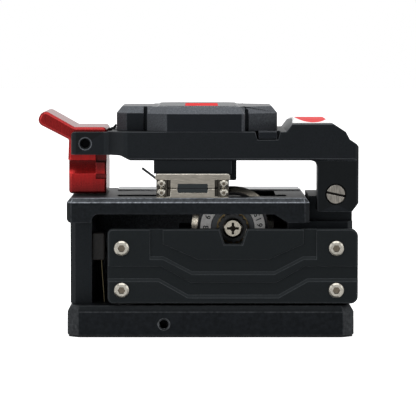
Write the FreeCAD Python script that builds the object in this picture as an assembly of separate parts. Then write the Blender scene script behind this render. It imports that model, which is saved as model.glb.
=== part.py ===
import FreeCAD, Part
import math
import os
from FreeCAD import Rotation, Vector

# Desktop fibre cleaver, millimetres.  +X points from the user's side to the hinge at the rear,
# +Y runs along the fibre, +Z is up.  The origin is the middle of the base's underside.

os.makedirs("parts", exist_ok=True)

# ---------------------------------------------------------------- driving dimensions: base
base_length = 70.0
base_width = 48.0
mat_thickness = 0.5
mat_inset = 0.3
base_thickness = 7.2
base_bevel_inset = 0.9
base_bevel_height = 1.5
base_corner_cut = 2.7
accessory_hole_x = -11.4
accessory_hole_height = 2.7
accessory_hole_radius = 1.05
accessory_hole_depth = 6.0
accessory_sink_radius = 1.4
base_screw_radius = 1.25
base_screw_platform_grip = 3.0
base_screw_head_radius = 2.2
base_screw_head_height = 1.8

# ---------------------------------------------------------------- body frame under the platform
wall_height = 20.2
left_wall_thickness = 5.3
left_wall_setback = 0.5
far_wall_thickness = 5.0
far_wall_setback = 1.5
frame_front_setback = 7.3
frame_corner_cut = 1.2
rear_block_length = 15.8
rear_block_setback = 0.05
bay_corner_radius = 1.5

# ---------------------------------------------------------------- platform
platform_rear_setback = 10.92
platform_side_setback = 1.0
platform_left_overhang = 0.12
platform_thickness = 3.95
platform_bevel_inset = 0.85
platform_bevel_height = 1.05
platform_corner_cut = 1.1
platform_lip_height = 2.1
platform_left_lip_length = 6.1
platform_right_lip_length = 5.3
platform_lip_slope = 3.2
platform_window_radius = 1.7
platform_lip_radius = 1.1
blade_slot_width = 7.2
blade_slot_end_margin = 1.3
relief_pocket_length = 8.2
relief_pocket_end = 8.0
relief_pocket_depth = 1.2
guide_plate_thickness = 0.35
guide_plate_front = 9.0
guide_plate_back_margin = 0.6
guide_plate_end_margin = 0.3
guide_plate_left_margin = 11.6
guide_notch_length = 2.3
guide_notch_depth = 1.2
guide_notch_from_left = 5.8

# ---------------------------------------------------------------- fibre, clamps and pads
fibre_over_platform = 2.3
fibre_gap = 0.12
fibre_from_blade = 9.9
blade_plane_setback = 12.0
clamp_length = 17.7
clamp_width = 5.9
clamp_inner_gap = 7.4
clamp_line_gap = 0.16
clamp_upper_height = 3.4
clamp_shoulder_height = 1.4
clamp_shoulder_radius = 0.7
clamp_neck_inset = 0.25
clamp_slit_width = 0.7
clamp_slit_depth = 1.1
clamp_slit_half_span = 5.8
clamp_recess_depth = 0.45
clamp_recess_lift = 0.2
clamp_seat_depth = 0.4
clamp_pad_length = 7.3
clamp_pad_lower_depth = 1.0
clamp_pad_upper_depth = 1.0
clamp_stud_radius = 0.95
clamp_stud_projection = 0.2
clamp_stud_socket_radius = 0.5
clamp_stud_socket_depth = 0.4
clamp_stud_offset = 7.6
clamp_stud_rise = 1.0

# ---------------------------------------------------------------- slide rail and carriage
rail_width = 5.0
rail_height = 3.6
rail_y = -2.0
rail_left_margin = 4.8
rail_right_margin = 0.7
rail_groove_rise = 2.2
rail_groove_depth = 0.6
rail_screw_radius = 0.9
rail_screw_head_radius = 1.6
rail_screw_pitch = 30.0
rail_screw_grip = 2.0
bearing_width = 12.0
bearing_length = 16.0
bearing_shift = 1.5
bearing_lift = 1.3
bearing_height = 4.8
bearing_play = 0.1
carriage_front_gap = 3.5
carriage_rear_gap = 0.65
carriage_far_gap = 7.5
carriage_block_height = 11.8
carriage_block_left = 13.4
carriage_block_right = 13.0
carriage_beam_thickness = 3.5
carriage_beam_inset = 0.5
blade_pocket_margin = 0.6
blade_wall_thickness = 2.5
relief_floor = 3.7
relief_far_wall = 5.0
relief_end_wall = 2.6
bearing_screw_radius = 1.0
bearing_screw_head_radius = 1.8
bearing_screw_head_height = 1.5
bearing_screw_pitch = 10.0
carriage_spring_bore_radius = 1.9
carriage_spring_bore_depth = 12.0
carriage_spring_coil_radius = 1.35
carriage_spring_wire = 0.25
carriage_spring_turns = 5
bumper_thickness = 3.2
bumper_width = 6.0
bumper_height = 6.7
bumper_z = 18.2
bumper_from_blade = 0.5
bumper_edge_radius = 0.5
wire_radius = 0.22
wire_foot_shift = 0.7
wire_from_bumper_edge = 0.42

# ---------------------------------------------------------------- side plate of the carriage
plate_left_reach = 30.6
plate_right_reach = 30.4
plate_height = 18.25
plate_lift = 0.5
plate_thickness = 3.0
plate_back_gap = 3.8
plate_left_radius = 1.2
plate_right_radius = 1.8
plate_edge_bevel = 0.3
plate_screw_left_inset = 3.4
plate_screw_right_inset = 5.3
plate_screw_edge = 3.3
plate_screw_top_edge = 4.7
plate_screw_head_radius = 1.8
plate_screw_head_height = 1.2
plate_screw_radius = 1.0
plate_screw_grip = 2.6
plate_screw_sink = 0.45
plate_notch_top_half = 3.3
plate_notch_bottom_half = 2.1
plate_notch_depth = 3.7
channel_depth = 0.6
channel_border = 0.7
channel_run_inset = 1.3
upper_channel_run_half = 8.7
upper_channel_inner_half = 17.1
upper_channel_width = 3.2
upper_channel_drop = 7.4
upper_channel_rise = 3.7
channel_height = 3.05
lower_channel_run_half = 10.4
lower_channel_side_half = 17.5
lower_channel_drop = 13.1
lower_channel_rise = 4.0

# ---------------------------------------------------------------- blade
blade_radius = 10.2
blade_thickness = 0.8
blade_edge_width = 0.8
blade_edge_land = 0.1
blade_over_fibre = 0.05
number_ring_outer = 8.0
number_ring_inner = 5.4
number_ring_thickness = 0.6
hub_flange_gap = 0.1
hub_flange_thickness = 0.5
hub_radius = 3.7
hub_length = 1.8
hub_notch_count = 16
hub_notch_depth = 0.4
hub_tooth_share = 0.45
brass_washer_radius = 4.0
brass_washer_thickness = 0.3
blade_screw_head_radius = 2.35
blade_screw_head_height = 1.3
blade_screw_radius = 1.5
blade_bush_wall = 1.0
blade_bush_play = 0.03
blade_nut_radius = 2.7
blade_nut_thickness = 1.6
cross_recess_length = 2.9
cross_recess_width = 0.6
cross_recess_depth = 0.7
index_leaf_thickness = 0.3
index_leaf_width = 1.4

# ---------------------------------------------------------------- arm
arm_side_setback = 3.5
arm_end_from_rear = -1.2
arm_over_clamps = 3.24
arm_thickness = 7.0
arm_body_from_front = 14.1
arm_nose_from_front = 10.4
arm_step_from_front = 9.6
arm_nose_lift = 1.2
arm_nose_drop = 0.2
arm_nose_slope_start = 2.5
arm_nose_slope_end = 1.2
arm_nose_slope_radius = 2.2
arm_body_corner_radius = 0.8
arm_step_radius = 2.0
arm_step_bow = 0.4
fork_from_front = 0.7
fork_side_setback = 4.5
fork_prong_thickness = 2.6
fork_corner_radius = 1.2
fork_top_radius = 0.8
arm_corner_radius = 1.4
arm_roof_thickness = 2.1
arm_bottom_bevel = 0.4
leg_setback = 0.3
leg_thickness = 7.0
near_leg_from_rear = 8.9
far_leg_from_rear = 7.2
leg_lift = 2.5
leg_corner_radius = 0.6
leg_root_radius = 1.65
leg_rear_cut = 1.7
leg_rear_cut_height = 2.2
hump_front_from_rear = 16.5
hump_top_front_from_rear = 15.1
hump_top_rear_from_rear = 4.9
hump_shoulder_from_rear = 2.0
hump_height = 1.85
hump_crown = 1.15
rear_notch_from_rear = 1.0
rear_notch_drop = 1.9
rear_ledge_from_rear = -0.7
rear_ledge_drop = 3.0
rear_edge_drop = 3.7
badge_end_margin = 0.2
badge_width = 36.0
badge_thickness = 0.4

# ---------------------------------------------------------------- hinge
hinge_from_rear = 4.4
hinge_lift = 6.8
hinge_pin_radius = 1.25
hinge_head_radius = 2.27
hinge_head_recess_radius = 2.5
hinge_head_thickness = 1.2
hinge_slot_width = 0.55
hinge_slot_depth = 0.6
hinge_slot_tilt = 12.0
hinge_ear_radius = 2.8
hinge_ear_thickness = 4.2
hinge_bush_wall = 0.5
hinge_running_play = 0.03
hinge_side_play = 0.3
hinge_block_height = 6.0
hinge_spring_wire = 0.3
hinge_spring_turns = 3
hinge_spring_pitch = 1.9

# ---------------------------------------------------------------- thumb pad
pad_height = 6.05
pad_wall_height = 4.4
pad_bevel_inset = 1.35
pad_from_front = 11.8
pad_end_from_rear = 18.5
pad_centre_from_front = 19.4
pad_centre_from_rear = 26.6
pad_facet_x = 4.9
pad_facet_y = 4.5
pad_wing_setback = 8.0
pad_wing_facet = 2.5
pad_right_wing_setback = 3.9
pad_right_end_setback = 10.0
pad_groove_width = 0.9
pad_groove_depth = 1.6
pad_front_radius = 1.2
pad_crown_height = 0.25
pad_crown_length = 20.0
pad_crown_margin = 2.0
pad_crown_shift = 0.5
pad_inlay_length = 8.1
pad_inlay_width = 27.0
pad_inlay_shift = 1.4
pad_inlay_y = -4.0
pad_inlay_thickness = 0.4
pad_screw_radius = 1.0
pad_screw_head_radius = 1.8
pad_screw_head_height = 1.6
pad_screw_grip = 3.0
pad_screw_front_inset = 5.0
pad_screw_front_y = -5.25
pad_screw_from_pad_end = 8.65
pad_screw_rear_y = 6.25
clip_notch_from_pad_end = 2.55
clip_notch_length = 6.1
clip_notch_taper = 0.55
clip_notch_depth = 1.95
clip_reach = 8.5
clip_tab_length = 4.4
clip_tab_play = 0.3

# ---------------------------------------------------------------- moving clamp holders
holder_length = 19.0
holder_width = 4.4
holder_setback = 2.0
holder_rise_into_arm = 0.6
holder_lift_room = 0.9
holder_neck_length = 15.8
holder_neck_width = 3.2
holder_spring_room = 2.3
holder_pocket_play = 0.3
guide_pin_radius = 0.6
guide_pin_play = 0.05
guide_pin_offset = 6.0
guide_pin_reach = 4.4
guide_pin_lift_room = 1.0
clamp_spring_wire = 0.15
clamp_spring_turns = 2
clamp_wire_radius = 0.24
clamp_wire_length_x = 3.2
clamp_wire_length_z = 2.4
clamp_wire_inset = 0.8
clamp_wire_rise = 0.4

# ---------------------------------------------------------------- anvil
anvil_pivot_from_fibre = 12.4
anvil_pivot_rise = 2.2
anvil_hub_radius = 2.0
anvil_pin_radius = 0.8
anvil_width = 3.8
anvil_pocket_play = 0.4
anvil_hub_setback = 1.6
anvil_front_from_fibre = 2.6
anvil_over_fibre = 1.55
anvil_front_rise = 1.5
anvil_front_play = 1.5
anvil_underside_slope = 0.4
anvil_corner_radius = 0.5
anvil_pin_seat = 1.0
anvil_tip_length = 3.0
anvil_tip_width = 2.8
anvil_tip_height = 2.0
anvil_tip_drop = 0.65
anvil_tip_radius = 0.6
anvil_pin_play = 0.04

# ---------------------------------------------------------------- latch lever
lever_side_play = 0.4
lever_pin_from_front = 4.2
lever_pin_rise = 3.9
lever_pin_radius = 1.0
lever_pin_recess = 0.5
lever_pin_depth = 1.2
lever_pin_play = 0.04
lever_from_front = 0.05
lever_rear_from_front = 9.3
lever_foot_gap = 0.55
lever_over_arm = 0.9
lever_neck_drop = 2.15
lever_bend_from_front = 1.5
tab_tip_upper_from_front = -6.4
tab_tip_upper_rise = 4.45
tab_tip_lower_from_front = -7.9
tab_tip_lower_rise = 1.05
tab_tip_radius = 1.6
tab_bend_radius = 0.6
lever_foot_radius = 0.8
lever_heel_radius = 0.4
lever_top_radius = 0.9
lever_edge_bevel = 0.5
lip_height = 1.4
lip_projection = 0.2
cove_radius = 5.7
cove_depth = 1.2
column_length = 2.6
column_cut_lift = 2.0
column_cut_depth = 2.2
column_slot_top_drop = 4.9
column_slot_height = 1.1
column_slot_depth = 1.0
keeper_radius = 3.0
keeper_thickness = 1.5
lever_spring_radius = 0.65
lever_spring_wire = 0.15
lever_spring_turns = 4
lever_spring_drop = 1.3
lever_spring_bore_depth = 4.6
leaf_thickness = 0.45
leaf_half_width = 2.0
leaf_length = 1.5
leaf_gap = 0.35
leaf_rise = 1.0

# ---------------------------------------------------------------- general fits
thread_play = 0.02
spring_seat_gap = 0.03
spring_steps = 8
screw_edge_share = 0.4
screw_socket_share = 0.55
clearance_play = 0.1
cut_margin = 1.0
tiny = 1e-6

# ---------------------------------------------------------------- derived places
base_top = mat_thickness + base_thickness
base_left = -base_length / 2
base_right = base_length / 2
fork_front_x = base_left + fork_from_front
arm_nose_x = base_left + arm_nose_from_front
arm_step_x = base_left + arm_step_from_front
arm_body_front_x = base_left + arm_body_from_front
pad_left_x = base_left + pad_from_front
pad_centre_left_x = base_left + pad_centre_from_front
lever_front_x = base_left + lever_from_front
lever_rear_x = base_left + lever_rear_from_front
lever_pin_x = base_left + lever_pin_from_front
lever_bend_x = base_left + lever_bend_from_front
tab_tip_upper_x = base_left + tab_tip_upper_from_front
tab_tip_lower_x = base_left + tab_tip_lower_from_front
arm_rear_x = base_right - arm_end_from_rear
hinge_x = base_right - hinge_from_rear
near_leg_front_x = base_right - near_leg_from_rear
far_leg_front_x = base_right - far_leg_from_rear
hump_front_x = base_right - hump_front_from_rear
hump_top_front_x = base_right - hump_top_front_from_rear
hump_top_rear_x = base_right - hump_top_rear_from_rear
hump_shoulder_x = base_right - hump_shoulder_from_rear
rear_notch_x = base_right - rear_notch_from_rear
rear_ledge_x = base_right - rear_ledge_from_rear
pad_right_x = base_right - pad_end_from_rear
pad_centre_right_x = base_right - pad_centre_from_rear
clip_notch_x = pad_right_x - clip_notch_from_pad_end
pad_screw_rear_x = pad_right_x - pad_screw_from_pad_end
pad_middle_x = (pad_centre_left_x + pad_centre_right_x) / 2
pad_crown_x = pad_middle_x + pad_crown_shift
pad_inlay_x = pad_middle_x + pad_inlay_shift
base_near = -base_width / 2
frame_left = base_left + left_wall_setback
frame_right = base_right - rear_block_setback
frame_near = base_near + frame_front_setback
frame_far = -base_near - far_wall_setback
bay_left = frame_left + left_wall_thickness
bay_right = frame_right - rear_block_length
bay_far = frame_far - far_wall_thickness
block_right = bay_right - carriage_rear_gap
blade_x = block_right - carriage_block_right
block_left = blade_x - carriage_block_left
carriage_travel = block_left - carriage_front_gap - bay_left
fibre_x = blade_x - fibre_from_blade
anvil_pivot_x = fibre_x + anvil_pivot_from_fibre
anvil_right_x = anvil_pivot_x - anvil_hub_setback
anvil_left_x = fibre_x - anvil_front_from_fibre
frame_top = base_top + wall_height
platform_left = base_left - platform_left_overhang
platform_right = base_right - platform_rear_setback
platform_half = -base_near - platform_side_setback
platform_bottom = frame_top + platform_lip_height
platform_top = platform_bottom + platform_thickness
fibre_height = platform_top + fibre_over_platform
blade_plane_y = base_near + blade_plane_setback
bumper_y = blade_plane_y - bumper_from_blade
blade_z = fibre_height + blade_over_fibre - blade_radius
blade_near_y = blade_plane_y - blade_thickness / 2
blade_far_y = blade_plane_y + blade_thickness / 2
plate_left = blade_x - plate_left_reach
plate_right = blade_x + plate_right_reach
plate_bottom = base_top + plate_lift
plate_top = plate_bottom + plate_height
plate_back_y = frame_near - plate_back_gap
plate_front_y = plate_back_y - plate_thickness
block_near_y = plate_back_y + carriage_beam_thickness
block_far_y = bay_far - carriage_far_gap
block_bottom = base_top + bearing_lift + bearing_height
block_top = block_bottom + carriage_block_height
blade_wall_near_y = blade_far_y + blade_pocket_margin
blade_wall_far_y = blade_wall_near_y + blade_wall_thickness
arm_half = -base_near - arm_side_setback
fork_outer_half = arm_half - fork_side_setback
fork_inner_half = fork_outer_half - fork_prong_thickness
lever_half_width = fork_inner_half - lever_side_play
hinge_z = frame_top + hinge_lift
leg_bottom = frame_top + leg_lift
hinge_block_half = arm_half - leg_thickness - hinge_side_play
hinge_block_top = frame_top + hinge_block_height
clamp_left = fibre_x - clamp_length / 2
clamp_right = fibre_x + clamp_length / 2
clamp_lower_top = fibre_height - clamp_line_gap / 2 - fibre_gap / 4
clamp_upper_bottom = fibre_height + clamp_line_gap / 2 + fibre_gap / 4
clamp_upper_top = clamp_upper_bottom + clamp_upper_height
arm_underside = clamp_upper_top + arm_over_clamps
arm_top = arm_underside + arm_thickness
arm_ceiling = arm_top - arm_roof_thickness
arm_nose_underside = arm_underside + arm_nose_lift
arm_nose_top = arm_top - arm_nose_drop
rear_notch_z = arm_top - rear_notch_drop
rear_ledge_z = arm_top - rear_ledge_drop
rear_edge_z = arm_top - rear_edge_drop
pad_bottom = arm_top
pad_wing_half_width = arm_half - pad_wing_setback
pad_right_wing_half_width = arm_half - pad_right_wing_setback
pad_right_end_half_width = arm_half - pad_right_end_setback
holder_shoulder_top = arm_underside + holder_rise_into_arm
holder_recess_top = holder_shoulder_top + holder_lift_room
holder_neck_top = arm_ceiling - holder_spring_room
guide_pin_end = arm_ceiling - guide_pin_reach
anvil_pivot_z = arm_underside + anvil_pivot_rise
anvil_bottom = fibre_height + anvil_over_fibre
anvil_top_left_z = arm_underside + anvil_front_rise
lever_pin_z = arm_underside + lever_pin_rise
lever_top = arm_top + lever_over_arm
lever_neck_z = arm_top - lever_neck_drop
tab_tip_upper_z = lever_top + tab_tip_upper_rise
tab_tip_lower_z = lever_top + tab_tip_lower_rise
lip_bottom = arm_nose_underside - lip_height


def mapped(plane, level, u, v):
    """Place the plane coordinates (u, v) at a level along the plane's normal."""
    if plane == "xz":
        return Vector(u, level, v)
    if plane == "yz":
        return Vector(level, u, v)
    return Vector(u, v, level)


def normal(plane):
    """Unit normal along which a plane's outlines are extruded."""
    return {"xz": Vector(0, 1, 0), "yz": Vector(1, 0, 0), "xy": Vector(0, 0, 1)}[plane]


def outline(points, plane, level):
    """Closed wire through points (u, v) or (u, v, corner radius)."""
    edges = []
    previous_end = None
    first_start = None
    count = len(points)
    for index in range(count):
        before = Vector(points[index - 1][0], points[index - 1][1], 0)
        corner = Vector(points[index][0], points[index][1], 0)
        after = Vector(points[(index + 1) % count][0], points[(index + 1) % count][1], 0)
        radius = points[index][2] if len(points[index]) > 2 else 0
        start = end = corner
        arc_points = None
        if radius > 0:
            back = (before - corner).normalize()
            ahead = (after - corner).normalize()
            half_angle = back.getAngle(ahead) / 2
            reach = radius / math.tan(half_angle)
            start = corner + back * reach
            end = corner + ahead * reach
            centre = corner + (back + ahead).normalize() * (radius / math.sin(half_angle))
            middle = centre + (corner - centre).normalize() * radius
            arc_points = [mapped(plane, level, p.x, p.y) for p in (start, middle, end)]
        if previous_end is not None and (previous_end - start).Length > tiny:
            line = [mapped(plane, level, p.x, p.y) for p in (previous_end, start)]
            edges.append(Part.LineSegment(*line).toShape())
        if arc_points:
            edges.append(Part.Arc(*arc_points).toShape())
        if first_start is None:
            first_start = start
        previous_end = end
    if (previous_end - first_start).Length > tiny:
        line = [mapped(plane, level, p.x, p.y) for p in (previous_end, first_start)]
        edges.append(Part.LineSegment(*line).toShape())
    return Part.Wire(Part.__sortEdges__(edges))


def prism(points, plane, low, high):
    """Extrude an outline between two levels along its plane's normal."""
    face = Part.Face(outline(points, plane, low))
    return face.extrude(normal(plane) * (high - low))


def inset(points, distance):
    """Move every side of a counter-clockwise outline inwards by one distance."""
    count = len(points)
    moved = []
    for index in range(count):
        corner = points[index]
        before = points[index - 1]
        after = points[(index + 1) % count]
        first = Vector(corner[0] - before[0], corner[1] - before[1], 0).normalize()
        second = Vector(after[0] - corner[0], after[1] - corner[1], 0).normalize()
        first_in = Vector(-first.y, first.x, 0)
        second_in = Vector(-second.y, second.x, 0)
        shift = (first_in + second_in) * (distance / (1 + first_in.dot(second_in)))
        place = [corner[0] + shift.x, corner[1] + shift.y]
        if len(corner) > 2:
            turn = first.cross(second).z
            change = -distance if turn > 0 else distance
            place.append(max(corner[2] + change, corner[2] / 4))
        moved.append(tuple(place))
    return moved


def bevelled(points, plane, back, front, bevel_inset, bevel_height):
    """Extrude a counter-clockwise outline and taper its last stretch by the bevel."""
    direction = 1 if front > back else -1
    shoulder = front - direction * bevel_height
    body = prism(points, plane, back, shoulder)
    rims = [outline(points, plane, shoulder), outline(inset(points, bevel_inset), plane, front)]
    return body.fuse(Part.makeLoft(rims, True, True)).removeSplitter()


def block(x_low, x_high, y_low, y_high, z_low, z_high):
    """Rectangular block between two corners."""
    return Part.makeBox(x_high - x_low, y_high - y_low, z_high - z_low, Vector(x_low, y_low, z_low))


def rod(start, end, radius):
    """Round bar from one point to another."""
    axis = end - start
    return Part.makeCylinder(radius, axis.Length, start, axis)


def rod_y(x, z, y_low, y_high, radius):
    """Round bar along the fibre direction."""
    return Part.makeCylinder(radius, y_high - y_low, Vector(x, y_low, z), Vector(0, 1, 0))


def rod_z(x, y, z_low, z_high, radius):
    """Upright round bar."""
    return Part.makeCylinder(radius, z_high - z_low, Vector(x, y, z_low), Vector(0, 0, 1))


def cut_rectangle(x_low, x_high, y_low, y_high, corner):
    """Counter-clockwise rectangle with its four corners cut at 45 degrees."""
    return [(x_low + corner, y_low), (x_high - corner, y_low), (x_high, y_low + corner),
            (x_high, y_high - corner), (x_high - corner, y_high), (x_low + corner, y_high),
            (x_low, y_high - corner), (x_low, y_low + corner)]


def spring(start, direction, length, coil_radius, wire, turns):
    """Coil spring of squared wire along a direction, clear of its two seats by the seat gap."""
    height = length - 2 * wire - 2 * spring_seat_gap
    rings = []
    for step in range(turns * spring_steps + 1):
        angle = 2 * math.pi * step / spring_steps
        level = wire + spring_seat_gap + height * step / (turns * spring_steps)
        inner = coil_radius - wire
        outer = coil_radius + wire
        corners = [(inner, level - wire), (outer, level - wire), (outer, level + wire), (inner, level + wire)]
        rings.append([Vector(r * math.cos(angle), r * math.sin(angle), z) for r, z in corners])
    facets = [rings[0], rings[-1]]
    for ring, ahead in zip(rings, rings[1:]):
        for index in range(4):
            facets.append([ring[index - 1], ring[index], ahead[index]])
            facets.append([ring[index - 1], ahead[index], ahead[index - 1]])
    shell = Part.Shell([Part.Face(Part.makePolygon(facet + facet[:1])) for facet in facets])
    solid = Part.Solid(shell)
    if solid.Volume < 0:
        solid.reverse()
    return placed(solid, start, direction)


def placed(shape, position, direction):
    """Turn a shape's +Z onto a direction and move its origin to a position."""
    turned = shape.copy()
    turned.Placement = FreeCAD.Placement(position, Rotation(Vector(0, 0, 1), direction))
    return turned


def revolved(section):
    """Turn a closed section (radius, height) once round the Z axis."""
    points = [Vector(radius, 0, height) for radius, height in section + section[:1]]
    return Part.Face(Part.makePolygon(points)).revolve(Vector(0, 0, 0), Vector(0, 0, 1), 360)


def hexagon(radius):
    """Corners of a hexagon round the origin."""
    angles = [math.pi * k / 3 for k in range(6)]
    return [(radius * math.cos(angle), radius * math.sin(angle)) for angle in angles]


def plain_screw(position, direction, head_radius, head_height, shank_radius, shank_length):
    """Screw with a plain round head, its head's top at the position."""
    shank_end = -head_height - shank_length
    turned = revolved([(0, 0), (head_radius, 0), (head_radius, -head_height),
                       (shank_radius, -head_height), (shank_radius, shank_end), (0, shank_end)])
    return placed(turned, position, direction)


def screw(position, direction, head_radius, head_height, shank_radius, shank_length):
    """Button head screw, its head's top at the position; the drive is cut by the caller."""
    edge = head_height * screw_edge_share
    shank_end = -head_height - shank_length
    turned = revolved([(0, 0), (head_radius - edge, 0), (head_radius, -edge), (head_radius, -head_height),
                       (shank_radius, -head_height), (shank_radius, shank_end), (0, shank_end)])
    return placed(turned, position, direction)


def socket_cutter(position, direction, radius, depth):
    """Hexagon socket to be cut into a head's top."""
    return placed(prism(hexagon(radius), "xy", -depth, cut_margin), position, direction)


def flat_screw(position, direction, head_radius, shank_radius, shank_length):
    """Hidden countersunk screw, its head's top at the position."""
    head_height = head_radius - shank_radius
    shank_end = -head_height - shank_length
    turned = revolved([(0, 0), (head_radius, 0), (shank_radius, -head_height), (shank_radius, shank_end),
                       (0, shank_end)])
    return placed(turned, position, direction)


def flat_screw_seat(position, direction, head_radius, shank_radius, shank_length):
    """Space that a countersunk screw needs, with its thread play."""
    head_height = head_radius - shank_radius
    cone = Part.makeCone(shank_radius + thread_play, head_radius + thread_play, head_height,
                         Vector(0, 0, -head_height))
    hole = Part.makeCylinder(shank_radius + thread_play, shank_length,
                             Vector(0, 0, -head_height - shank_length))
    return placed(cone.fuse(hole), position, direction)


def across_blade(shape):
    """Mirror a near-side piece to the far side of the blade's plane."""
    return shape.mirror(Vector(0, blade_plane_y, 0), Vector(0, 1, 0))


def save(name, pieces):
    """Write one named node."""
    solids = pieces if isinstance(pieces, list) else [pieces]
    shape = solids[0] if len(solids) == 1 else Part.makeCompound(solids)
    shape.exportStep("parts/" + name + ".step")
    return shape


# ================================================================ base
base_outline = cut_rectangle(base_left, base_right, base_near, -base_near, base_corner_cut)
base_plate = bevelled(base_outline, "xy", mat_thickness, base_top, base_bevel_inset, base_bevel_height)
hole_z = mat_thickness + accessory_hole_height
base_plate = base_plate.cut(rod_y(accessory_hole_x, hole_z, base_near - cut_margin,
                                  base_near + accessory_hole_depth, accessory_hole_radius))
sink_depth = accessory_sink_radius - accessory_hole_radius
base_plate = base_plate.cut(Part.makeCone(accessory_sink_radius, accessory_hole_radius, sink_depth,
                                          Vector(accessory_hole_x, base_near, hole_z), Vector(0, 1, 0)))
left_screw_x = (frame_left + bay_left) / 2
rear_screw_x = (bay_right + platform_right) / 2
base_screw_places = [(x, y) for x in (left_screw_x, rear_screw_x)
                     for y in (frame_near + left_wall_thickness, bay_far - cut_margin)]
base_screw_tip = frame_top + base_screw_platform_grip
base_screws = []
base_screw_holes = []
for x, y in base_screw_places:
    start = Vector(x, y, mat_thickness)
    base_screws.append(plain_screw(start, Vector(0, 0, -1), base_screw_head_radius,
                                   base_screw_head_height, base_screw_radius,
                                   base_screw_tip - mat_thickness - base_screw_head_height))
    base_plate = base_plate.cut(rod_z(x, y, mat_thickness - cut_margin,
                                      mat_thickness + base_screw_head_height,
                                      base_screw_head_radius + clearance_play))
    hole = rod_z(x, y, mat_thickness, base_screw_tip, base_screw_radius + thread_play)
    base_plate = base_plate.cut(hole)
    base_screw_holes.append(hole)
save("base_screws", base_screws)

mat_outline = inset(base_outline, mat_inset)
save("base_mat", prism(mat_outline, "xy", 0, mat_thickness))

# ================================================================ body frame
frame_outline = cut_rectangle(frame_left, frame_right, frame_near, frame_far, frame_corner_cut)
body_frame = prism(frame_outline, "xy", base_top, frame_top)
bay = [(bay_left, frame_near - cut_margin), (bay_right, frame_near - cut_margin),
       (bay_right, bay_far, bay_corner_radius), (bay_left, bay_far, bay_corner_radius)]
body_frame = body_frame.cut(prism(bay, "xy", base_top - cut_margin, frame_top + cut_margin))
left_lip_x = platform_left + platform_left_lip_length
right_lip_x = platform_right - platform_right_lip_length
window_outline = [(left_lip_x, frame_top), (right_lip_x, frame_top),
                  (right_lip_x - platform_lip_slope, platform_bottom),
                  (left_lip_x + platform_window_radius, platform_bottom),
                  (left_lip_x, platform_bottom - platform_window_radius)]
body_frame = body_frame.fuse(prism(window_outline, "xz", bay_far, frame_far))
hinge_front_x = platform_right + hinge_side_play
body_frame = body_frame.fuse(block(hinge_front_x, frame_right, -hinge_block_half, hinge_block_half,
                                   frame_top, hinge_block_top))
ear_far_y = hinge_block_half - hinge_ear_thickness
for y_low in (-hinge_block_half, ear_far_y):
    ear = rod_y(hinge_x, hinge_z, y_low, y_low + hinge_ear_thickness, hinge_ear_radius)
    body_frame = body_frame.fuse(ear)
body_frame = body_frame.cut(rod_y(hinge_x, hinge_z, -ear_far_y, ear_far_y,
                                  hinge_ear_radius + clearance_play))
hinge_bush_radius = hinge_pin_radius + hinge_running_play + hinge_bush_wall
body_frame = body_frame.cut(rod_y(hinge_x, hinge_z, -hinge_block_half - cut_margin,
                                  hinge_block_half + cut_margin, hinge_bush_radius))
for hole in base_screw_holes:
    body_frame = body_frame.cut(hole)
save("body_frame", body_frame)

hinge_bushes = []
for y_low in (-hinge_block_half, ear_far_y):
    bush = rod_y(hinge_x, hinge_z, y_low, y_low + hinge_ear_thickness, hinge_bush_radius)
    hole = rod_y(hinge_x, hinge_z, y_low - cut_margin, y_low + hinge_ear_thickness + cut_margin,
                 hinge_pin_radius + hinge_running_play)
    hinge_bushes.append(bush.cut(hole))
save("hinge_bushes", hinge_bushes)

hinge_spring_length = hinge_spring_turns * hinge_spring_pitch + 2 * hinge_spring_wire
hinge_coil_radius = hinge_pin_radius + hinge_spring_wire + 2 * clearance_play
save("hinge_spring", spring(Vector(hinge_x, -hinge_spring_length / 2, hinge_z), Vector(0, 1, 0),
                            hinge_spring_length, hinge_coil_radius, hinge_spring_wire,
                            hinge_spring_turns))

# ================================================================ platform
platform_outline = cut_rectangle(platform_left, platform_right, -platform_half, platform_half,
                                 platform_corner_cut)
platform = bevelled(platform_outline, "xy", frame_top, platform_top, platform_bevel_inset,
                    platform_bevel_height)
platform_profile = [(platform_left, frame_top, platform_lip_radius), (left_lip_x, frame_top),
                    (left_lip_x, platform_bottom, platform_window_radius),
                    (right_lip_x - platform_lip_slope, platform_bottom), (right_lip_x, frame_top),
                    (platform_right, frame_top), (platform_right, platform_top),
                    (platform_left, platform_top)]
platform = platform.common(prism(platform_profile, "xz", -platform_half, platform_half))
blade_half_chord = math.sqrt(blade_radius ** 2 - (platform_bottom - blade_z) ** 2)
slot_left = blade_x - carriage_travel - blade_half_chord - blade_slot_end_margin
slot_right = blade_x + blade_half_chord + 3 * blade_slot_end_margin
slot_near_y = blade_plane_y - blade_slot_width / 2
slot_far_y = blade_plane_y + blade_slot_width / 2
slot_corner = blade_slot_width / 6
blade_slot = [(slot_left, slot_near_y, slot_corner), (slot_right, slot_near_y, slot_corner),
              (slot_right, slot_far_y, slot_corner), (slot_left, slot_far_y, slot_corner)]
platform = platform.cut(prism(blade_slot, "xy", frame_top - cut_margin, platform_top + cut_margin))
relief_right = slot_right - 2 * blade_slot_end_margin
platform = platform.cut(block(relief_right - relief_pocket_length, relief_right, slot_far_y - cut_margin,
                              relief_pocket_end, platform_top - relief_pocket_depth,
                              platform_top + cut_margin))
magnet_x = (lever_front_x + lever_rear_x) / 2
magnet_bottom = platform_top - keeper_thickness
platform = platform.cut(rod_z(magnet_x, 0, magnet_bottom, platform_top + cut_margin,
                              keeper_radius + thread_play))
save("latch_magnet", rod_z(magnet_x, 0, magnet_bottom, platform_top, keeper_radius))

for hole in base_screw_holes:
    platform = platform.cut(hole)

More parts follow.
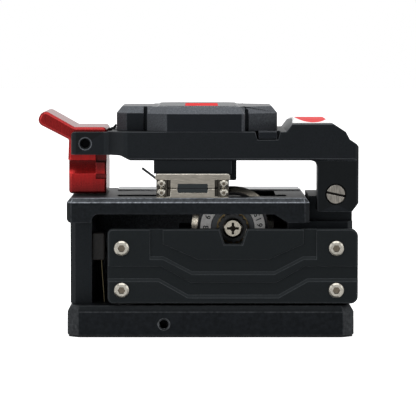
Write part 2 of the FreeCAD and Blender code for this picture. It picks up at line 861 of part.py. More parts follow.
# ---------------------------------------------------------------- guide plate on the platform
guide_left = platform_left + guide_plate_left_margin
guide_right = platform_right - platform_bevel_inset - guide_plate_end_margin
guide_back = platform_half - platform_bevel_inset - guide_plate_back_margin
notch_left = guide_left + guide_notch_from_left
notch_right = notch_left + guide_notch_length
guide_outline = [(guide_left, guide_plate_front), (guide_right, guide_plate_front),
                 (guide_right, guide_back), (notch_right, guide_back),
                 (notch_right - guide_notch_depth / 2, guide_back - guide_notch_depth),
                 (notch_left + guide_notch_depth / 2, guide_back - guide_notch_depth),
                 (notch_left, guide_back), (guide_left, guide_back)]
guide_plate = prism(guide_outline, "xy", platform_top, platform_top + guide_plate_thickness)
save("guide_plate", guide_plate)

# ================================================================ lower clamps
near_clamp_inner = blade_plane_y - clamp_inner_gap / 2
near_clamp_outer = near_clamp_inner - clamp_width
pad_left = fibre_x - clamp_pad_length / 2
pad_right = fibre_x + clamp_pad_length / 2
pad_gap_low = fibre_height - fibre_gap / 2
pad_gap_high = fibre_height + fibre_gap / 2
lower_stud_z = clamp_lower_top - clamp_stud_rise
upper_stud_z = clamp_upper_bottom + clamp_stud_rise


def cut_slits(shape, z_low, z_high):
    """Cut the two upright slits in a clamp's outer face."""
    for side in (-1, 1):
        middle = fibre_x + side * clamp_slit_half_span
        shape = shape.cut(block(middle - clamp_slit_width / 2, middle + clamp_slit_width / 2,
                                near_clamp_outer - cut_margin, near_clamp_outer + clamp_slit_depth,
                                z_low, z_high))
    return shape


def cut_recesses(shape, z_low, z_high):
    """Cut a clamp's outer face back from each slit to the clamp's end."""
    for side in (-1, 1):
        slit = fibre_x + side * clamp_slit_half_span
        end = fibre_x + side * clamp_length
        shape = shape.cut(block(min(slit, end), max(slit, end), near_clamp_outer - cut_margin,
                                near_clamp_outer + clamp_recess_depth, z_low, z_high))
    return shape


def studs(z):
    """Two small round studs with sockets, pressed on the recessed ends of a clamp."""
    pieces = []
    top_y = near_clamp_outer - clamp_stud_projection
    for side in (-1, 1):
        x = fibre_x + side * clamp_stud_offset
        stud = rod_y(x, z, top_y, near_clamp_outer + clamp_recess_depth, clamp_stud_radius)
        pieces.append(stud.cut(socket_cutter(Vector(x, top_y, z), Vector(0, -1, 0),
                                             clamp_stud_socket_radius, clamp_stud_socket_depth)))
    return pieces


clamp_seat_z = platform_top - clamp_seat_depth
lower_clamp = block(clamp_left, clamp_right, near_clamp_outer, near_clamp_inner, clamp_seat_z,
                    clamp_lower_top)
recess_bottom = platform_top + clamp_recess_lift
lower_clamp = cut_slits(lower_clamp, recess_bottom, clamp_lower_top + cut_margin)
lower_clamp = cut_recesses(lower_clamp, recess_bottom, clamp_lower_top + cut_margin)
lower_pad_bottom = pad_gap_low - clamp_pad_lower_depth
lower_clamp = lower_clamp.cut(block(pad_left, pad_right, near_clamp_outer - cut_margin,
                                    near_clamp_inner + cut_margin, lower_pad_bottom, fibre_height))
lower_pad = block(pad_left, pad_right, near_clamp_outer, near_clamp_inner, lower_pad_bottom, pad_gap_low)
clamp_seat = block(clamp_left - thread_play, clamp_right + thread_play, near_clamp_outer - thread_play,
                   near_clamp_inner + thread_play, clamp_seat_z, platform_top + cut_margin)
platform = platform.cut(clamp_seat)
platform = platform.cut(across_blade(clamp_seat))
save("lower_clamp_near", lower_clamp)
save("lower_clamp_far", across_blade(lower_clamp))
save("lower_pad_near", lower_pad)
save("lower_pad_far", across_blade(lower_pad))
lower_studs = studs(lower_stud_z)
save("lower_clamp_studs", lower_studs + [across_blade(s) for s in lower_studs])
save("platform", platform)

# ================================================================ slide rail and bearing block
rail_left = bay_left + rail_left_margin
rail_right = bay_right - rail_right_margin
rail_top = base_top + rail_height
rail_half = rail_width / 2
rail_groove_z = base_top + rail_groove_rise
rail_section = [(rail_y - rail_half, base_top), (rail_y + rail_half, base_top),
                (rail_y + rail_half, rail_groove_z - rail_groove_depth),
                (rail_y + rail_half - rail_groove_depth, rail_groove_z),
                (rail_y + rail_half, rail_groove_z + rail_groove_depth), (rail_y + rail_half, rail_top),
                (rail_y - rail_half, rail_top), (rail_y - rail_half, rail_groove_z + rail_groove_depth),
                (rail_y - rail_half + rail_groove_depth, rail_groove_z),
                (rail_y - rail_half, rail_groove_z - rail_groove_depth)]
rail = prism(rail_section, "yz", rail_left, rail_right)
rail_screws = []
rail_middle = (rail_left + rail_right) / 2
rail_screw_length = rail_height + rail_screw_grip
for side in (-1, 1):
    top = Vector(rail_middle + side * rail_screw_pitch / 2, rail_y, rail_top)
    sizes = (rail_screw_head_radius, rail_screw_radius, rail_screw_length)
    rail_screws.append(flat_screw(top, Vector(0, 0, 1), *sizes))
    seat = flat_screw_seat(top, Vector(0, 0, 1), *sizes)
    rail = rail.cut(seat)
    base_plate = base_plate.cut(seat)
save("slide_rail", rail)
save("rail_screws", rail_screws)
save("base_plate", base_plate)

bearing_left = blade_x - bearing_length / 2 + bearing_shift
bearing_bottom = base_top + bearing_lift
bearing = block(bearing_left, bearing_left + bearing_length, rail_y - bearing_width / 2,
                rail_y + bearing_width / 2, bearing_bottom, block_bottom)
bearing = bearing.cut(block(bearing_left - cut_margin, bearing_left + bearing_length + cut_margin,
                            rail_y - rail_width / 2 - bearing_play, rail_y + rail_width / 2 + bearing_play,
                            base_top, rail_top + bearing_play))

# ================================================================ carriage
beam_outline = [(plate_left + carriage_beam_inset, plate_bottom + carriage_beam_inset, plate_left_radius),
                (plate_right - carriage_beam_inset, plate_bottom + carriage_beam_inset, plate_right_radius),
                (plate_right - carriage_beam_inset, plate_top - carriage_beam_inset, plate_right_radius),
                (plate_left + carriage_beam_inset, plate_top - carriage_beam_inset, plate_left_radius)]
carriage = prism(beam_outline, "xz", plate_back_y, block_near_y)
carriage = carriage.fuse(block(block_left, block_right, block_near_y, block_far_y, block_bottom, block_top))
pocket_reach = blade_radius + blade_pocket_margin
carriage = carriage.cut(block(blade_x - pocket_reach, blade_x + pocket_reach, plate_back_y - cut_margin,
                              blade_wall_near_y, blade_z - pocket_reach, plate_top))
relief_bottom = block_bottom + relief_floor
carriage = carriage.cut(block(block_left + relief_end_wall, block_right - relief_end_wall, blade_wall_far_y,
                              block_far_y - relief_far_wall, relief_bottom, plate_top))
spring_y = block_far_y - relief_far_wall / 2
spring_z = (block_bottom + block_top) / 2
spring_bore_end = block_left + carriage_spring_bore_depth
carriage = carriage.cut(rod(Vector(block_left - cut_margin, spring_y, spring_z),
                            Vector(spring_bore_end, spring_y, spring_z), carriage_spring_bore_radius))
save("carriage_spring", spring(Vector(bay_left, spring_y, spring_z), Vector(1, 0, 0),
                               spring_bore_end - bay_left, carriage_spring_coil_radius,
                               carriage_spring_wire, carriage_spring_turns))
bearing_screws = []
bearing_middle = bearing_left + bearing_length / 2
bearing_screw_grip = block_bottom - bearing_bottom - rail_height + bearing_lift
for side in (-1, 1):
    x = bearing_middle + side * bearing_screw_pitch / 2
    top = Vector(x, rail_y, relief_bottom + bearing_screw_head_height)
    bearing_screws.append(plain_screw(top, Vector(0, 0, 1), bearing_screw_head_radius,
                                      bearing_screw_head_height, bearing_screw_radius,
                                      relief_floor + bearing_screw_grip / 2))
    shaft_room = rod_z(x, rail_y, block_bottom - bearing_screw_grip / 2, relief_bottom + cut_margin,
                       bearing_screw_radius + thread_play)
    carriage = carriage.cut(shaft_room)
    bearing = bearing.cut(shaft_room)
save("bearing_screws", bearing_screws)
save("bearing_block", bearing)

bush_radius = blade_screw_radius + blade_bush_play + blade_bush_wall
bush = rod_y(blade_x, blade_z, blade_wall_near_y, blade_wall_far_y, bush_radius)
bush = bush.cut(rod_y(blade_x, blade_z, blade_wall_near_y - cut_margin, blade_wall_far_y + cut_margin,
                      blade_screw_radius + blade_bush_play))
carriage = carriage.cut(rod_y(blade_x, blade_z, blade_wall_near_y - cut_margin,
                              blade_wall_far_y + cut_margin, bush_radius))
save("blade_bush", bush)

# ================================================================ side plate
plate_outline = [(plate_left, plate_top, plate_left_radius), (plate_left, plate_bottom, plate_left_radius),
                 (plate_right, plate_bottom, plate_right_radius),
                 (plate_right, plate_top, plate_right_radius),
                 (blade_x + plate_notch_top_half, plate_top),
                 (blade_x + plate_notch_bottom_half, plate_top - plate_notch_depth),
                 (blade_x - plate_notch_bottom_half, plate_top - plate_notch_depth),
                 (blade_x - plate_notch_top_half, plate_top)]
side_plate = bevelled(plate_outline, "xz", plate_back_y, plate_front_y, plate_edge_bevel, plate_edge_bevel)


def channel(side_points):
    """Recess in the plate's face: straight walls, with the lower border sloped."""
    deep = [(blade_x + u, plate_top - v) for u, v, slope in side_points]
    face = [(blade_x + u, plate_top - v - slope * channel_border) for u, v, slope in side_points]
    outside = [(blade_x + u, plate_top - v - slope * 2 * channel_border) for u, v, slope in side_points]
    return Part.makeLoft([outline(outside, "xz", plate_front_y - channel_depth),
                          outline(face, "xz", plate_front_y),
                          outline(deep, "xz", plate_front_y + channel_depth)], True, True)


upper_outer_half = upper_channel_inner_half + upper_channel_width
upper_run_bottom = upper_channel_drop + channel_height
upper_turn_bottom = upper_run_bottom - upper_channel_rise
upper_half = [(upper_channel_inner_half, -cut_margin, 0),
              (upper_channel_inner_half, upper_channel_drop - upper_channel_rise, 0),
              (upper_channel_run_half, upper_channel_drop, 0)]
upper_border = [(upper_channel_run_half + channel_run_inset, upper_run_bottom, 1),
                (upper_channel_inner_half, upper_turn_bottom, 1),
                (upper_outer_half, upper_turn_bottom, 1), (upper_outer_half, -cut_margin, 0)]
upper_mirror = [(-u, v, slope) for u, v, slope in upper_half[::-1]]
border_mirror = [(-u, v, slope) for u, v, slope in upper_border[::-1]]
side_plate = side_plate.cut(channel(upper_half + upper_mirror + border_mirror + upper_border))

lower_side_top = lower_channel_drop - lower_channel_rise
lower_side_bottom = lower_side_top + channel_height
side_reach = plate_left_reach + cut_margin
lower_half = [(side_reach, lower_side_top, 0), (lower_channel_side_half, lower_side_top, 0),
              (lower_channel_run_half, lower_channel_drop, 0)]
lower_border = [(lower_channel_run_half + channel_run_inset / 2, lower_channel_drop + channel_height, 1),
                (lower_channel_side_half + channel_run_inset / 2, lower_side_bottom, 1),
                (side_reach, lower_side_bottom, 1)]
lower_mirror = [(-u, v, slope) for u, v, slope in lower_half[::-1]]
lower_border_mirror = [(-u, v, slope) for u, v, slope in lower_border[::-1]]
side_plate = side_plate.cut(channel(lower_half + lower_mirror + lower_border_mirror + lower_border))

side_plate_screws = []
plate_socket_depth = plate_screw_head_height * screw_socket_share
for x in (plate_left + plate_screw_left_inset, plate_right - plate_screw_right_inset):
    for z in (plate_bottom + plate_screw_edge, plate_top - plate_screw_top_edge):
        head_top = Vector(x, plate_front_y - plate_screw_head_height + plate_screw_sink, z)
        under_head = plate_front_y + plate_screw_sink
        plate_screw = plain_screw(head_top, Vector(0, -1, 0), plate_screw_head_radius,
                                  plate_screw_head_height, plate_screw_radius,
                                  plate_back_y + plate_screw_grip - under_head)
        side_plate_screws.append(plate_screw.cut(socket_cutter(head_top, Vector(0, -1, 0),
                                                               plate_screw_radius, plate_socket_depth)))
        side_plate = side_plate.cut(rod_y(x, z, plate_front_y - cut_margin, under_head,
                                          plate_screw_head_radius + clearance_play))
        hole = rod_y(x, z, plate_front_y, plate_back_y + plate_screw_grip, plate_screw_radius + thread_play)
        side_plate = side_plate.cut(hole)
        carriage = carriage.cut(hole)
save("side_plate", side_plate)
save("side_plate_screws", side_plate_screws)
save("carriage_frame", carriage.removeSplitter())

# ================================================================ bumper and its wire spring
bumper_right = bay_left + bumper_thickness
bumper = block(bay_left, bumper_right, bumper_y - bumper_width / 2, bumper_y + bumper_width / 2,
               bumper_z, bumper_z + bumper_height)
bumper_edges = [e for e in bumper.Edges
                if abs(e.BoundBox.XMin - bumper_right) < tiny and abs(e.BoundBox.XMax - bumper_right) < tiny]
bumper = bumper.makeFillet(bumper_edge_radius, bumper_edges)
save("bumper", bumper)
wire_top = Vector(bumper_right - wire_from_bumper_edge, bumper_y, bumper_z)
wire_foot = Vector(wire_top.x + wire_foot_shift, bumper_y, base_top)
wire_run = wire_foot - wire_top
stop_wire = rod(wire_top - wire_run / 2, wire_foot + wire_run / 2, wire_radius)
stop_wire = stop_wire.common(block(bay_left, bay_right, bumper_y - cut_margin, bumper_y + cut_margin,
                                   base_top, bumper_z))
save("stop_wire", stop_wire)

# ================================================================ blade
edge_start = blade_radius - blade_edge_width
land = blade_edge_land / 2
half_thick = blade_thickness / 2
bore = blade_screw_radius + thread_play
blade_section = [(bore, -half_thick), (edge_start, -half_thick), (blade_radius, -land),
                 (blade_radius, land), (edge_start, half_thick), (bore, half_thick)]
blade_face = Part.Face(Part.makePolygon([Vector(blade_x + r, blade_plane_y + y, blade_z)
                                         for r, y in blade_section + blade_section[:1]]))
blade_disc = blade_face.revolve(Vector(blade_x, blade_plane_y, blade_z), Vector(0, 1, 0), 360)
save("blade_disc", blade_disc)

ring_near_y = blade_near_y - number_ring_thickness
number_ring = rod_y(blade_x, blade_z, ring_near_y, blade_near_y, number_ring_outer)
number_ring = number_ring.cut(rod_y(blade_x, blade_z, ring_near_y - cut_margin, blade_near_y + cut_margin,
                                    number_ring_inner))
save("number_ring", number_ring)

def blade_ring(y_low, y_high, radius):
    """Flat ring round the blade screw."""
    ring = rod_y(blade_x, blade_z, y_low, y_high, radius)
    return ring.cut(rod_y(blade_x, blade_z, y_low - cut_margin, y_high + cut_margin, bore))


flange_near_y = blade_near_y - hub_flange_thickness
flange = blade_ring(flange_near_y, blade_near_y, number_ring_inner - hub_flange_gap)
washer_near_y = flange_near_y - brass_washer_thickness
save("blade_washer", blade_ring(washer_near_y, flange_near_y, brass_washer_radius))
hub_near_y = washer_near_y - hub_length
tooth_points = []
for step in range(hub_notch_count):
    for turn, radius in ((0, hub_radius), (hub_tooth_share, hub_radius),
                         ((1 + hub_tooth_share) / 2, hub_radius - hub_notch_depth)):
        angle = 2 * math.pi * (step + turn) / hub_notch_count
        tooth_points.append((blade_x + radius * math.cos(angle), blade_z + radius * math.sin(angle)))
hub = prism(tooth_points, "xz", hub_near_y, washer_near_y)
hub = hub.cut(rod_y(blade_x, blade_z, hub_near_y - cut_margin, washer_near_y + cut_margin, bore))
save("blade_hub", [flange, hub])

screw_top_y = hub_near_y - blade_screw_head_height
nut_far_y = blade_wall_far_y + clearance_play + blade_nut_thickness
blade_screw = screw(Vector(blade_x, screw_top_y, blade_z), Vector(0, -1, 0), blade_screw_head_radius,
                    blade_screw_head_height, blade_screw_radius, nut_far_y - hub_near_y)
for turn in (0, 90):
    bar = block(-cross_recess_length / 2, cross_recess_length / 2, -cross_recess_width / 2,
                cross_recess_width / 2, -cross_recess_depth, cut_margin)
    bar.rotate(Vector(0, 0, 0), Vector(0, 0, 1), turn)
    blade_screw = blade_screw.cut(placed(bar, Vector(blade_x, screw_top_y, blade_z), Vector(0, -1, 0)))
save("blade_screw", blade_screw)

nut_sides = [(blade_x + u, blade_z + v) for u, v in hexagon(blade_nut_radius)]
nut = prism(nut_sides, "xz", nut_far_y - blade_nut_thickness, nut_far_y)
nut = nut.cut(rod_y(blade_x, blade_z, blade_wall_far_y, nut_far_y + cut_margin, bore))
save("blade_nut", nut)

# ---------------------------------------------------------------- index leaf that rests on the hub's notches
leaf_top_z = blade_z - hub_radius - clearance_play
pocket_floor_z = blade_z - pocket_reach
index_leaf = block(blade_x - index_leaf_width / 2, blade_x + index_leaf_width / 2,
                   hub_near_y, hub_near_y + index_leaf_thickness, pocket_floor_z, leaf_top_z)
save("index_leaf", index_leaf)

# ================================================================ arm frame
side_profile = [(fork_front_x, arm_nose_underside),
                (arm_nose_x + arm_nose_slope_start, arm_nose_underside, arm_nose_slope_radius),
                (arm_body_front_x + arm_nose_slope_end, arm_underside, arm_body_corner_radius),
                (near_leg_front_x, arm_underside, leg_root_radius),
                (near_leg_front_x, leg_bottom, leg_corner_radius),
                (arm_rear_x - leg_rear_cut, leg_bottom, leg_corner_radius),
                (arm_rear_x, leg_bottom + leg_rear_cut_height), (arm_rear_x, rear_edge_z),
                (rear_ledge_x, rear_ledge_z), (rear_notch_x, rear_notch_z), (hump_shoulder_x, arm_top),
                (arm_step_x, arm_top), (arm_step_x, arm_nose_top),
                (fork_front_x, arm_nose_top, fork_top_radius)]
arm = prism(side_profile, "xz", -arm_half, arm_half)
step_middle_x = (arm_step_x + arm_body_front_x) / 2
step_middle_y = (fork_outer_half + arm_half) / 2 + arm_step_bow
plan_near = [(fork_front_x, -fork_outer_half, fork_corner_radius),
             (arm_step_x, -fork_outer_half, arm_step_radius), (step_middle_x, -step_middle_y),
             (arm_body_front_x, -arm_half, arm_step_radius), (arm_rear_x, -arm_half, arm_corner_radius)]
plan_far = [tuple([p[0], -p[1]] + list(p[2:])) for p in reversed(plan_near)]
arm = arm.common(prism(plan_near + plan_far, "xy", leg_bottom - cut_margin, arm_top + cut_margin))

# The hump over the hinge is crowned across the arm.
hump_run_front = (hump_top_front_x - hump_front_x) / hump_height
hump_run_rear = (hump_shoulder_x - hump_top_rear_x) / hump_height
crown_top = arm_top + hump_height + hump_crown
hump_profile = [(hump_front_x, arm_top), (hump_shoulder_x, arm_top),
                (hump_top_rear_x - hump_run_rear * hump_crown, crown_top),
                (hump_top_front_x + hump_run_front * hump_crown, crown_top)]
hump = prism(hump_profile, "xz", -arm_half, arm_half)
crown_radius = (arm_half ** 2 + hump_crown ** 2) / (2 * hump_crown)
crown = rod(Vector(hump_front_x - cut_margin, 0, crown_top - crown_radius),
            Vector(arm_rear_x, 0, crown_top - crown_radius), crown_radius)
arm = arm.fuse(hump.common(crown))

# Fork at the front, and a thinner nose between and around its two prongs.
arm = arm.cut(block(fork_front_x - cut_margin, arm_nose_x, -fork_inner_half, fork_inner_half,
                    arm_underside - cut_margin, arm_top + cut_margin))

# Legs: outer faces set back, an open middle for the hinge block, and a narrower far leg.
leg_top = arm_underside + arm_bottom_bevel
for side in (-1, 1):
    outer = side * arm_half
    inner = side * (arm_half - leg_setback)
    arm = arm.cut(block(near_leg_front_x - cut_margin, arm_rear_x + cut_margin, min(outer, inner),
                        max(outer, inner), leg_bottom - cut_margin, arm_underside))
leg_inner = arm_half - leg_thickness
arm = arm.cut(block(near_leg_front_x - cut_margin, arm_rear_x + cut_margin, -leg_inner, leg_inner,
                    leg_bottom - cut_margin, arm_underside))
arm = arm.cut(block(near_leg_front_x - cut_margin, far_leg_front_x, leg_inner - cut_margin,
                    arm_half + cut_margin, leg_bottom - cut_margin, arm_underside))

# A small bevel runs along the underside's long edges.
for side in (-1, 1):
    edge = side * arm_half
    inside = side * (arm_half - arm_bottom_bevel)
    corner = [(edge, arm_underside), (edge, leg_top), (inside, arm_underside)]
    arm = arm.cut(prism(corner, "yz", arm_body_front_x, arm_rear_x))

# Hinge pin holes with head recesses.
hinge_face = arm_half - leg_setback
arm = arm.cut(rod_y(hinge_x, hinge_z, -arm_half - cut_margin, arm_half + cut_margin,
                    hinge_pin_radius + thread_play))
for y_low in (-hinge_face, hinge_face - hinge_head_thickness):
    arm = arm.cut(rod_y(hinge_x, hinge_z, y_low, y_low + hinge_head_thickness, hinge_head_recess_radius))

# Lever pin holes, countersunk outside.
arm = arm.cut(rod_y(lever_pin_x, lever_pin_z, -fork_outer_half - cut_margin, fork_outer_half + cut_margin,
                    lever_pin_radius + thread_play))
for side in (-1, 1):
    arm = arm.cut(Part.makeCone(lever_pin_radius + lever_pin_recess, lever_pin_radius, lever_pin_recess,
                                Vector(lever_pin_x, side * fork_outer_half, lever_pin_z),
                                Vector(0, -side, 0)))

# Pockets for the two clamp holders and the anvil.
near_holder_outer = near_clamp_outer + holder_setback
near_holder_inner = near_holder_outer + holder_width
neck_middle_y = (near_holder_inner + near_holder_outer) / 2
holder_left = fibre_x - holder_length / 2
holder_right = fibre_x + holder_length / 2
neck_left = fibre_x - holder_neck_length / 2
neck_right = fibre_x + holder_neck_length / 2
neck_near = neck_middle_y - holder_neck_width / 2
neck_far = neck_middle_y + holder_neck_width / 2
holder_pocket = block(neck_left - holder_pocket_play, neck_right + holder_pocket_play,
                      neck_near - holder_pocket_play, neck_far + holder_pocket_play,
                      arm_underside - cut_margin, arm_ceiling)
holder_recess = block(holder_left - holder_pocket_play, holder_right + holder_pocket_play,
                      near_holder_outer - holder_pocket_play, near_holder_inner + holder_pocket_play,
                      arm_underside - cut_margin, holder_recess_top)
for room in (holder_pocket, holder_recess):
    arm = arm.cut(room)
    arm = arm.cut(across_blade(room))
anvil_half = anvil_width / 2
anvil_pocket_half = anvil_half + anvil_pocket_play
arm = arm.cut(block(anvil_left_x - anvil_front_play,
                    anvil_pivot_x + anvil_hub_radius + 2 * anvil_pocket_play,
                    blade_plane_y - anvil_pocket_half, blade_plane_y + anvil_pocket_half,
                    arm_underside - cut_margin, arm_ceiling))
anvil_pin_reach = anvil_pocket_half + anvil_pin_seat
anvil_pin_low = blade_plane_y - anvil_pin_reach
anvil_pin_high = blade_plane_y + anvil_pin_reach
arm = arm.cut(rod_y(anvil_pivot_x, anvil_pivot_z, anvil_pin_low, anvil_pin_high, anvil_pin_radius))
save("anvil_pin", rod_y(anvil_pivot_x, anvil_pivot_z, anvil_pin_low, anvil_pin_high, anvil_pin_radius))

guide_pins = []
clamp_springs = []
for side in (-1, 1):
    x = fibre_x + side * guide_pin_offset
    guide_pins.append(rod_z(x, neck_middle_y, guide_pin_end, arm_ceiling, guide_pin_radius))
    clamp_springs.append(spring(Vector(x, neck_middle_y, holder_neck_top), Vector(0, 0, 1),
                                arm_ceiling - holder_neck_top,
                                guide_pin_radius + clamp_spring_wire + guide_pin_play,
                                clamp_spring_wire, clamp_spring_turns))
save("clamp_guide_pins", guide_pins + [across_blade(p) for p in guide_pins])
save("clamp_springs_near", clamp_springs)
save("clamp_springs_far", [across_blade(s) for s in clamp_springs])

# Notches in the top edges for the thumb pad's clips.
clip_top_half = clip_notch_length / 2
clip_bottom_half = clip_top_half - clip_notch_taper
clip_floor = arm_top - clip_notch_depth
clip_profile = [(clip_notch_x - clip_bottom_half, clip_floor), (clip_notch_x + clip_bottom_half, clip_floor),
                (clip_notch_x + clip_top_half, arm_top), (clip_notch_x - clip_top_half, arm_top)]
clip_inner = arm_half - clip_reach
arm = arm.cut(prism(clip_profile, "xz", -arm_half - cut_margin, -clip_inner))
arm = arm.cut(prism(clip_profile, "xz", clip_inner, arm_half + cut_margin))

# Bore for the lever's return spring.
lever_spring_z = lever_pin_z - lever_spring_drop
lever_spring_end = arm_nose_x + lever_spring_bore_depth
arm = arm.cut(rod(Vector(arm_nose_x - cut_margin, 0, lever_spring_z),
                  Vector(lever_spring_end, 0, lever_spring_z),
                  lever_spring_radius + lever_spring_wire + clearance_play))
save("lever_spring", spring(Vector(lever_rear_x, 0, lever_spring_z), Vector(1, 0, 0),
                            lever_spring_end - lever_rear_x, lever_spring_radius, lever_spring_wire,
                            lever_spring_turns))

# The badge is a bare curved plate let into the hump's top.
badge_room = block(hump_top_front_x + badge_end_margin, hump_top_rear_x - badge_end_margin,
                   -badge_width / 2, badge_width / 2, arm_top + hump_height / 2, crown_top + cut_margin)
badge_room = badge_room.cut(rod(Vector(hump_front_x - cut_margin, 0, crown_top - crown_radius),
                                Vector(arm_rear_x, 0, crown_top - crown_radius),
                                crown_radius - badge_thickness))
badge = arm.common(badge_room)
arm = arm.cut(badge_room)
save("badge_plate", badge)

# ================================================================ thumb pad
pad_shoulder = pad_bottom + pad_wall_height
pad_top = pad_bottom + pad_height
centre_facet_x = pad_centre_left_x + pad_facet_x
centre_facet_y = arm_half - pad_facet_y
pad_near = [(pad_left_x, -pad_wing_half_width + pad_wing_facet),
            (pad_left_x + pad_wing_facet, -pad_wing_half_width),
            (pad_centre_left_x, -pad_wing_half_width), (pad_centre_left_x, -centre_facet_y),
            (centre_facet_x, -arm_half), (pad_centre_right_x, -arm_half, pad_front_radius),
            (pad_centre_right_x, -pad_right_wing_half_width), (pad_right_x, -pad_right_end_half_width)]
pad_far = [tuple([p[0], -p[1]] + list(p[2:])) for p in reversed(pad_near)]
thumb_pad = bevelled(pad_near + pad_far, "xy", pad_bottom, pad_top, pad_bevel_inset, pad_top - pad_shoulder)
for side in (-1, 1):
    for x, depth_y in ((pad_centre_left_x - pad_groove_width, pad_wing_half_width),
                       (pad_centre_right_x, pad_right_wing_half_width)):
        outer = side * (depth_y + cut_margin)
        inner = side * (depth_y - pad_groove_depth)
        thumb_pad = thumb_pad.cut(block(x, x + pad_groove_width, min(outer, inner), max(outer, inner),
                                        pad_bottom - cut_margin, pad_top + cut_margin))
pad_crown_half = arm_half - pad_crown_margin
crown_outline = cut_rectangle(pad_crown_x - pad_crown_length / 2, pad_crown_x + pad_crown_length / 2,
                              -pad_crown_half, pad_crown_half, pad_facet_x / 2)
thumb_pad = thumb_pad.fuse(bevelled(crown_outline, "xy", pad_top - cut_margin, pad_top + pad_crown_height,
                                    2 * pad_crown_height, pad_crown_height))
clip_tab_half = clip_tab_length / 2
for side in (-1, 1):
    outer = side * (arm_half - clip_tab_play / 2)
    inner = side * (clip_inner + clip_tab_play)
    thumb_pad = thumb_pad.fuse(block(clip_notch_x - clip_tab_half, clip_notch_x + clip_tab_half,
                                     min(outer, inner), max(outer, inner),
                                     clip_floor + clip_tab_play, pad_bottom))
inlay_top = pad_top + pad_crown_height
inlay_room = block(pad_inlay_x - pad_inlay_length / 2, pad_inlay_x + pad_inlay_length / 2,
                   pad_inlay_y - pad_inlay_width / 2, pad_inlay_y + pad_inlay_width / 2,
                   inlay_top - pad_inlay_thickness,
                   inlay_top + cut_margin)
pad_inlay = thumb_pad.common(inlay_room)
thumb_pad = thumb_pad.cut(inlay_room)
save("pad_inlay", pad_inlay)
pad_screws = []
pad_screw_places = [(pad_left_x + pad_screw_front_inset, pad_screw_front_y),
                    (pad_screw_rear_x, pad_screw_rear_y)]
pad_screw_head_bottom = arm_underside + pad_screw_head_height
for x, y in pad_screw_places:
    start = Vector(x, y, pad_screw_head_bottom)
    grip = pad_bottom + pad_screw_grip - pad_screw_head_bottom - pad_screw_head_height
    pad_screws.append(plain_screw(start, Vector(0, 0, -1), pad_screw_head_radius, pad_screw_head_height,
                                  pad_screw_radius, grip))
    arm = arm.cut(rod_z(x, y, arm_underside - cut_margin, pad_screw_head_bottom + pad_screw_head_height,
                        pad_screw_head_radius + clearance_play))
    shaft_room = rod_z(x, y, pad_screw_head_bottom, pad_bottom + pad_screw_grip,
                       pad_screw_radius + thread_play)
    arm = arm.cut(shaft_room)
    thumb_pad = thumb_pad.cut(shaft_room)
save("pad_screws", pad_screws)
save("thumb_pad", thumb_pad.removeSplitter())
save("arm_frame", arm.removeSplitter())

# ================================================================ hinge pin
hinge_pin = rod_y(hinge_x, hinge_z, -hinge_face, hinge_face, hinge_pin_radius)
for side in (-1, 1):
    face = side * hinge_face
    back = side * (hinge_face - hinge_head_thickness)
    hinge_pin = hinge_pin.fuse(rod_y(hinge_x, hinge_z, min(face, back), max(face, back), hinge_head_radius))
    slot_back = side * (hinge_face - hinge_slot_depth)
    slot = block(-hinge_head_radius - cut_margin, hinge_head_radius + cut_margin, min(face, slot_back),
                 max(face, slot_back), -hinge_slot_width / 2, hinge_slot_width / 2)
    slot.rotate(Vector(0, 0, 0), Vector(0, 1, 0), hinge_slot_tilt)
    slot.translate(Vector(hinge_x, 0, hinge_z))
    hinge_pin = hinge_pin.cut(slot)
save("hinge_pin", hinge_pin.removeSplitter())

# ================================================================ moving upper clamps
upper_waist = clamp_upper_top - clamp_shoulder_height
upper_profile = [(clamp_left, clamp_upper_bottom), (clamp_right, clamp_upper_bottom),
                 (clamp_right, upper_waist), (clamp_right + clamp_neck_inset, upper_waist),
                 (clamp_right + clamp_neck_inset, clamp_upper_top, clamp_shoulder_radius),
                 (clamp_left - clamp_neck_inset, clamp_upper_top, clamp_shoulder_radius),
                 (clamp_left - clamp_neck_inset, upper_waist), (clamp_left, upper_waist)]
upper_clamp = prism(upper_profile, "xz", near_clamp_outer, near_clamp_inner)
upper_clamp = cut_slits(upper_clamp, clamp_upper_bottom - cut_margin, upper_waist)
upper_clamp = cut_recesses(upper_clamp, clamp_upper_bottom - cut_margin, upper_waist)
upper_pad_top = pad_gap_high + clamp_pad_upper_depth
upper_clamp = upper_clamp.cut(block(pad_left, pad_right, near_clamp_outer - cut_margin,
                                    near_clamp_inner + cut_margin, fibre_height, upper_pad_top))
upper_pad = block(pad_left, pad_right, near_clamp_outer, near_clamp_inner, pad_gap_high, upper_pad_top)
upper_studs = studs(upper_stud_z)
holder = block(holder_left, holder_right, near_holder_outer, near_holder_inner, clamp_upper_top,
               holder_shoulder_top)
holder = holder.fuse(block(neck_left, neck_right, neck_near, neck_far, holder_shoulder_top, holder_neck_top))
for side in (-1, 1):
    holder = holder.cut(rod_z(fibre_x + side * guide_pin_offset, neck_middle_y,
                              guide_pin_end - guide_pin_lift_room,
                              holder_neck_top + cut_margin, guide_pin_radius + guide_pin_play))
holder = holder.removeSplitter()
wire_start = Vector(clamp_left - clamp_neck_inset, near_clamp_outer + clamp_wire_inset,
                    upper_waist + clamp_wire_rise)
wire_end = wire_start + Vector(-clamp_wire_length_x, 0, clamp_wire_length_z)
clamp_wire = rod(wire_start - (wire_end - wire_start) / 4, wire_end, clamp_wire_radius).cut(upper_clamp)
save("clamp_wire", clamp_wire)
save("upper_clamp_near", upper_clamp)
save("upper_clamp_far", across_blade(upper_clamp))
save("upper_pad_near", upper_pad)
save("upper_pad_far", across_blade(upper_pad))
save("upper_studs_near", upper_studs)
save("upper_studs_far", [across_blade(s) for s in upper_studs])
save("clamp_holder_near", holder)
save("clamp_holder_far", across_blade(holder))

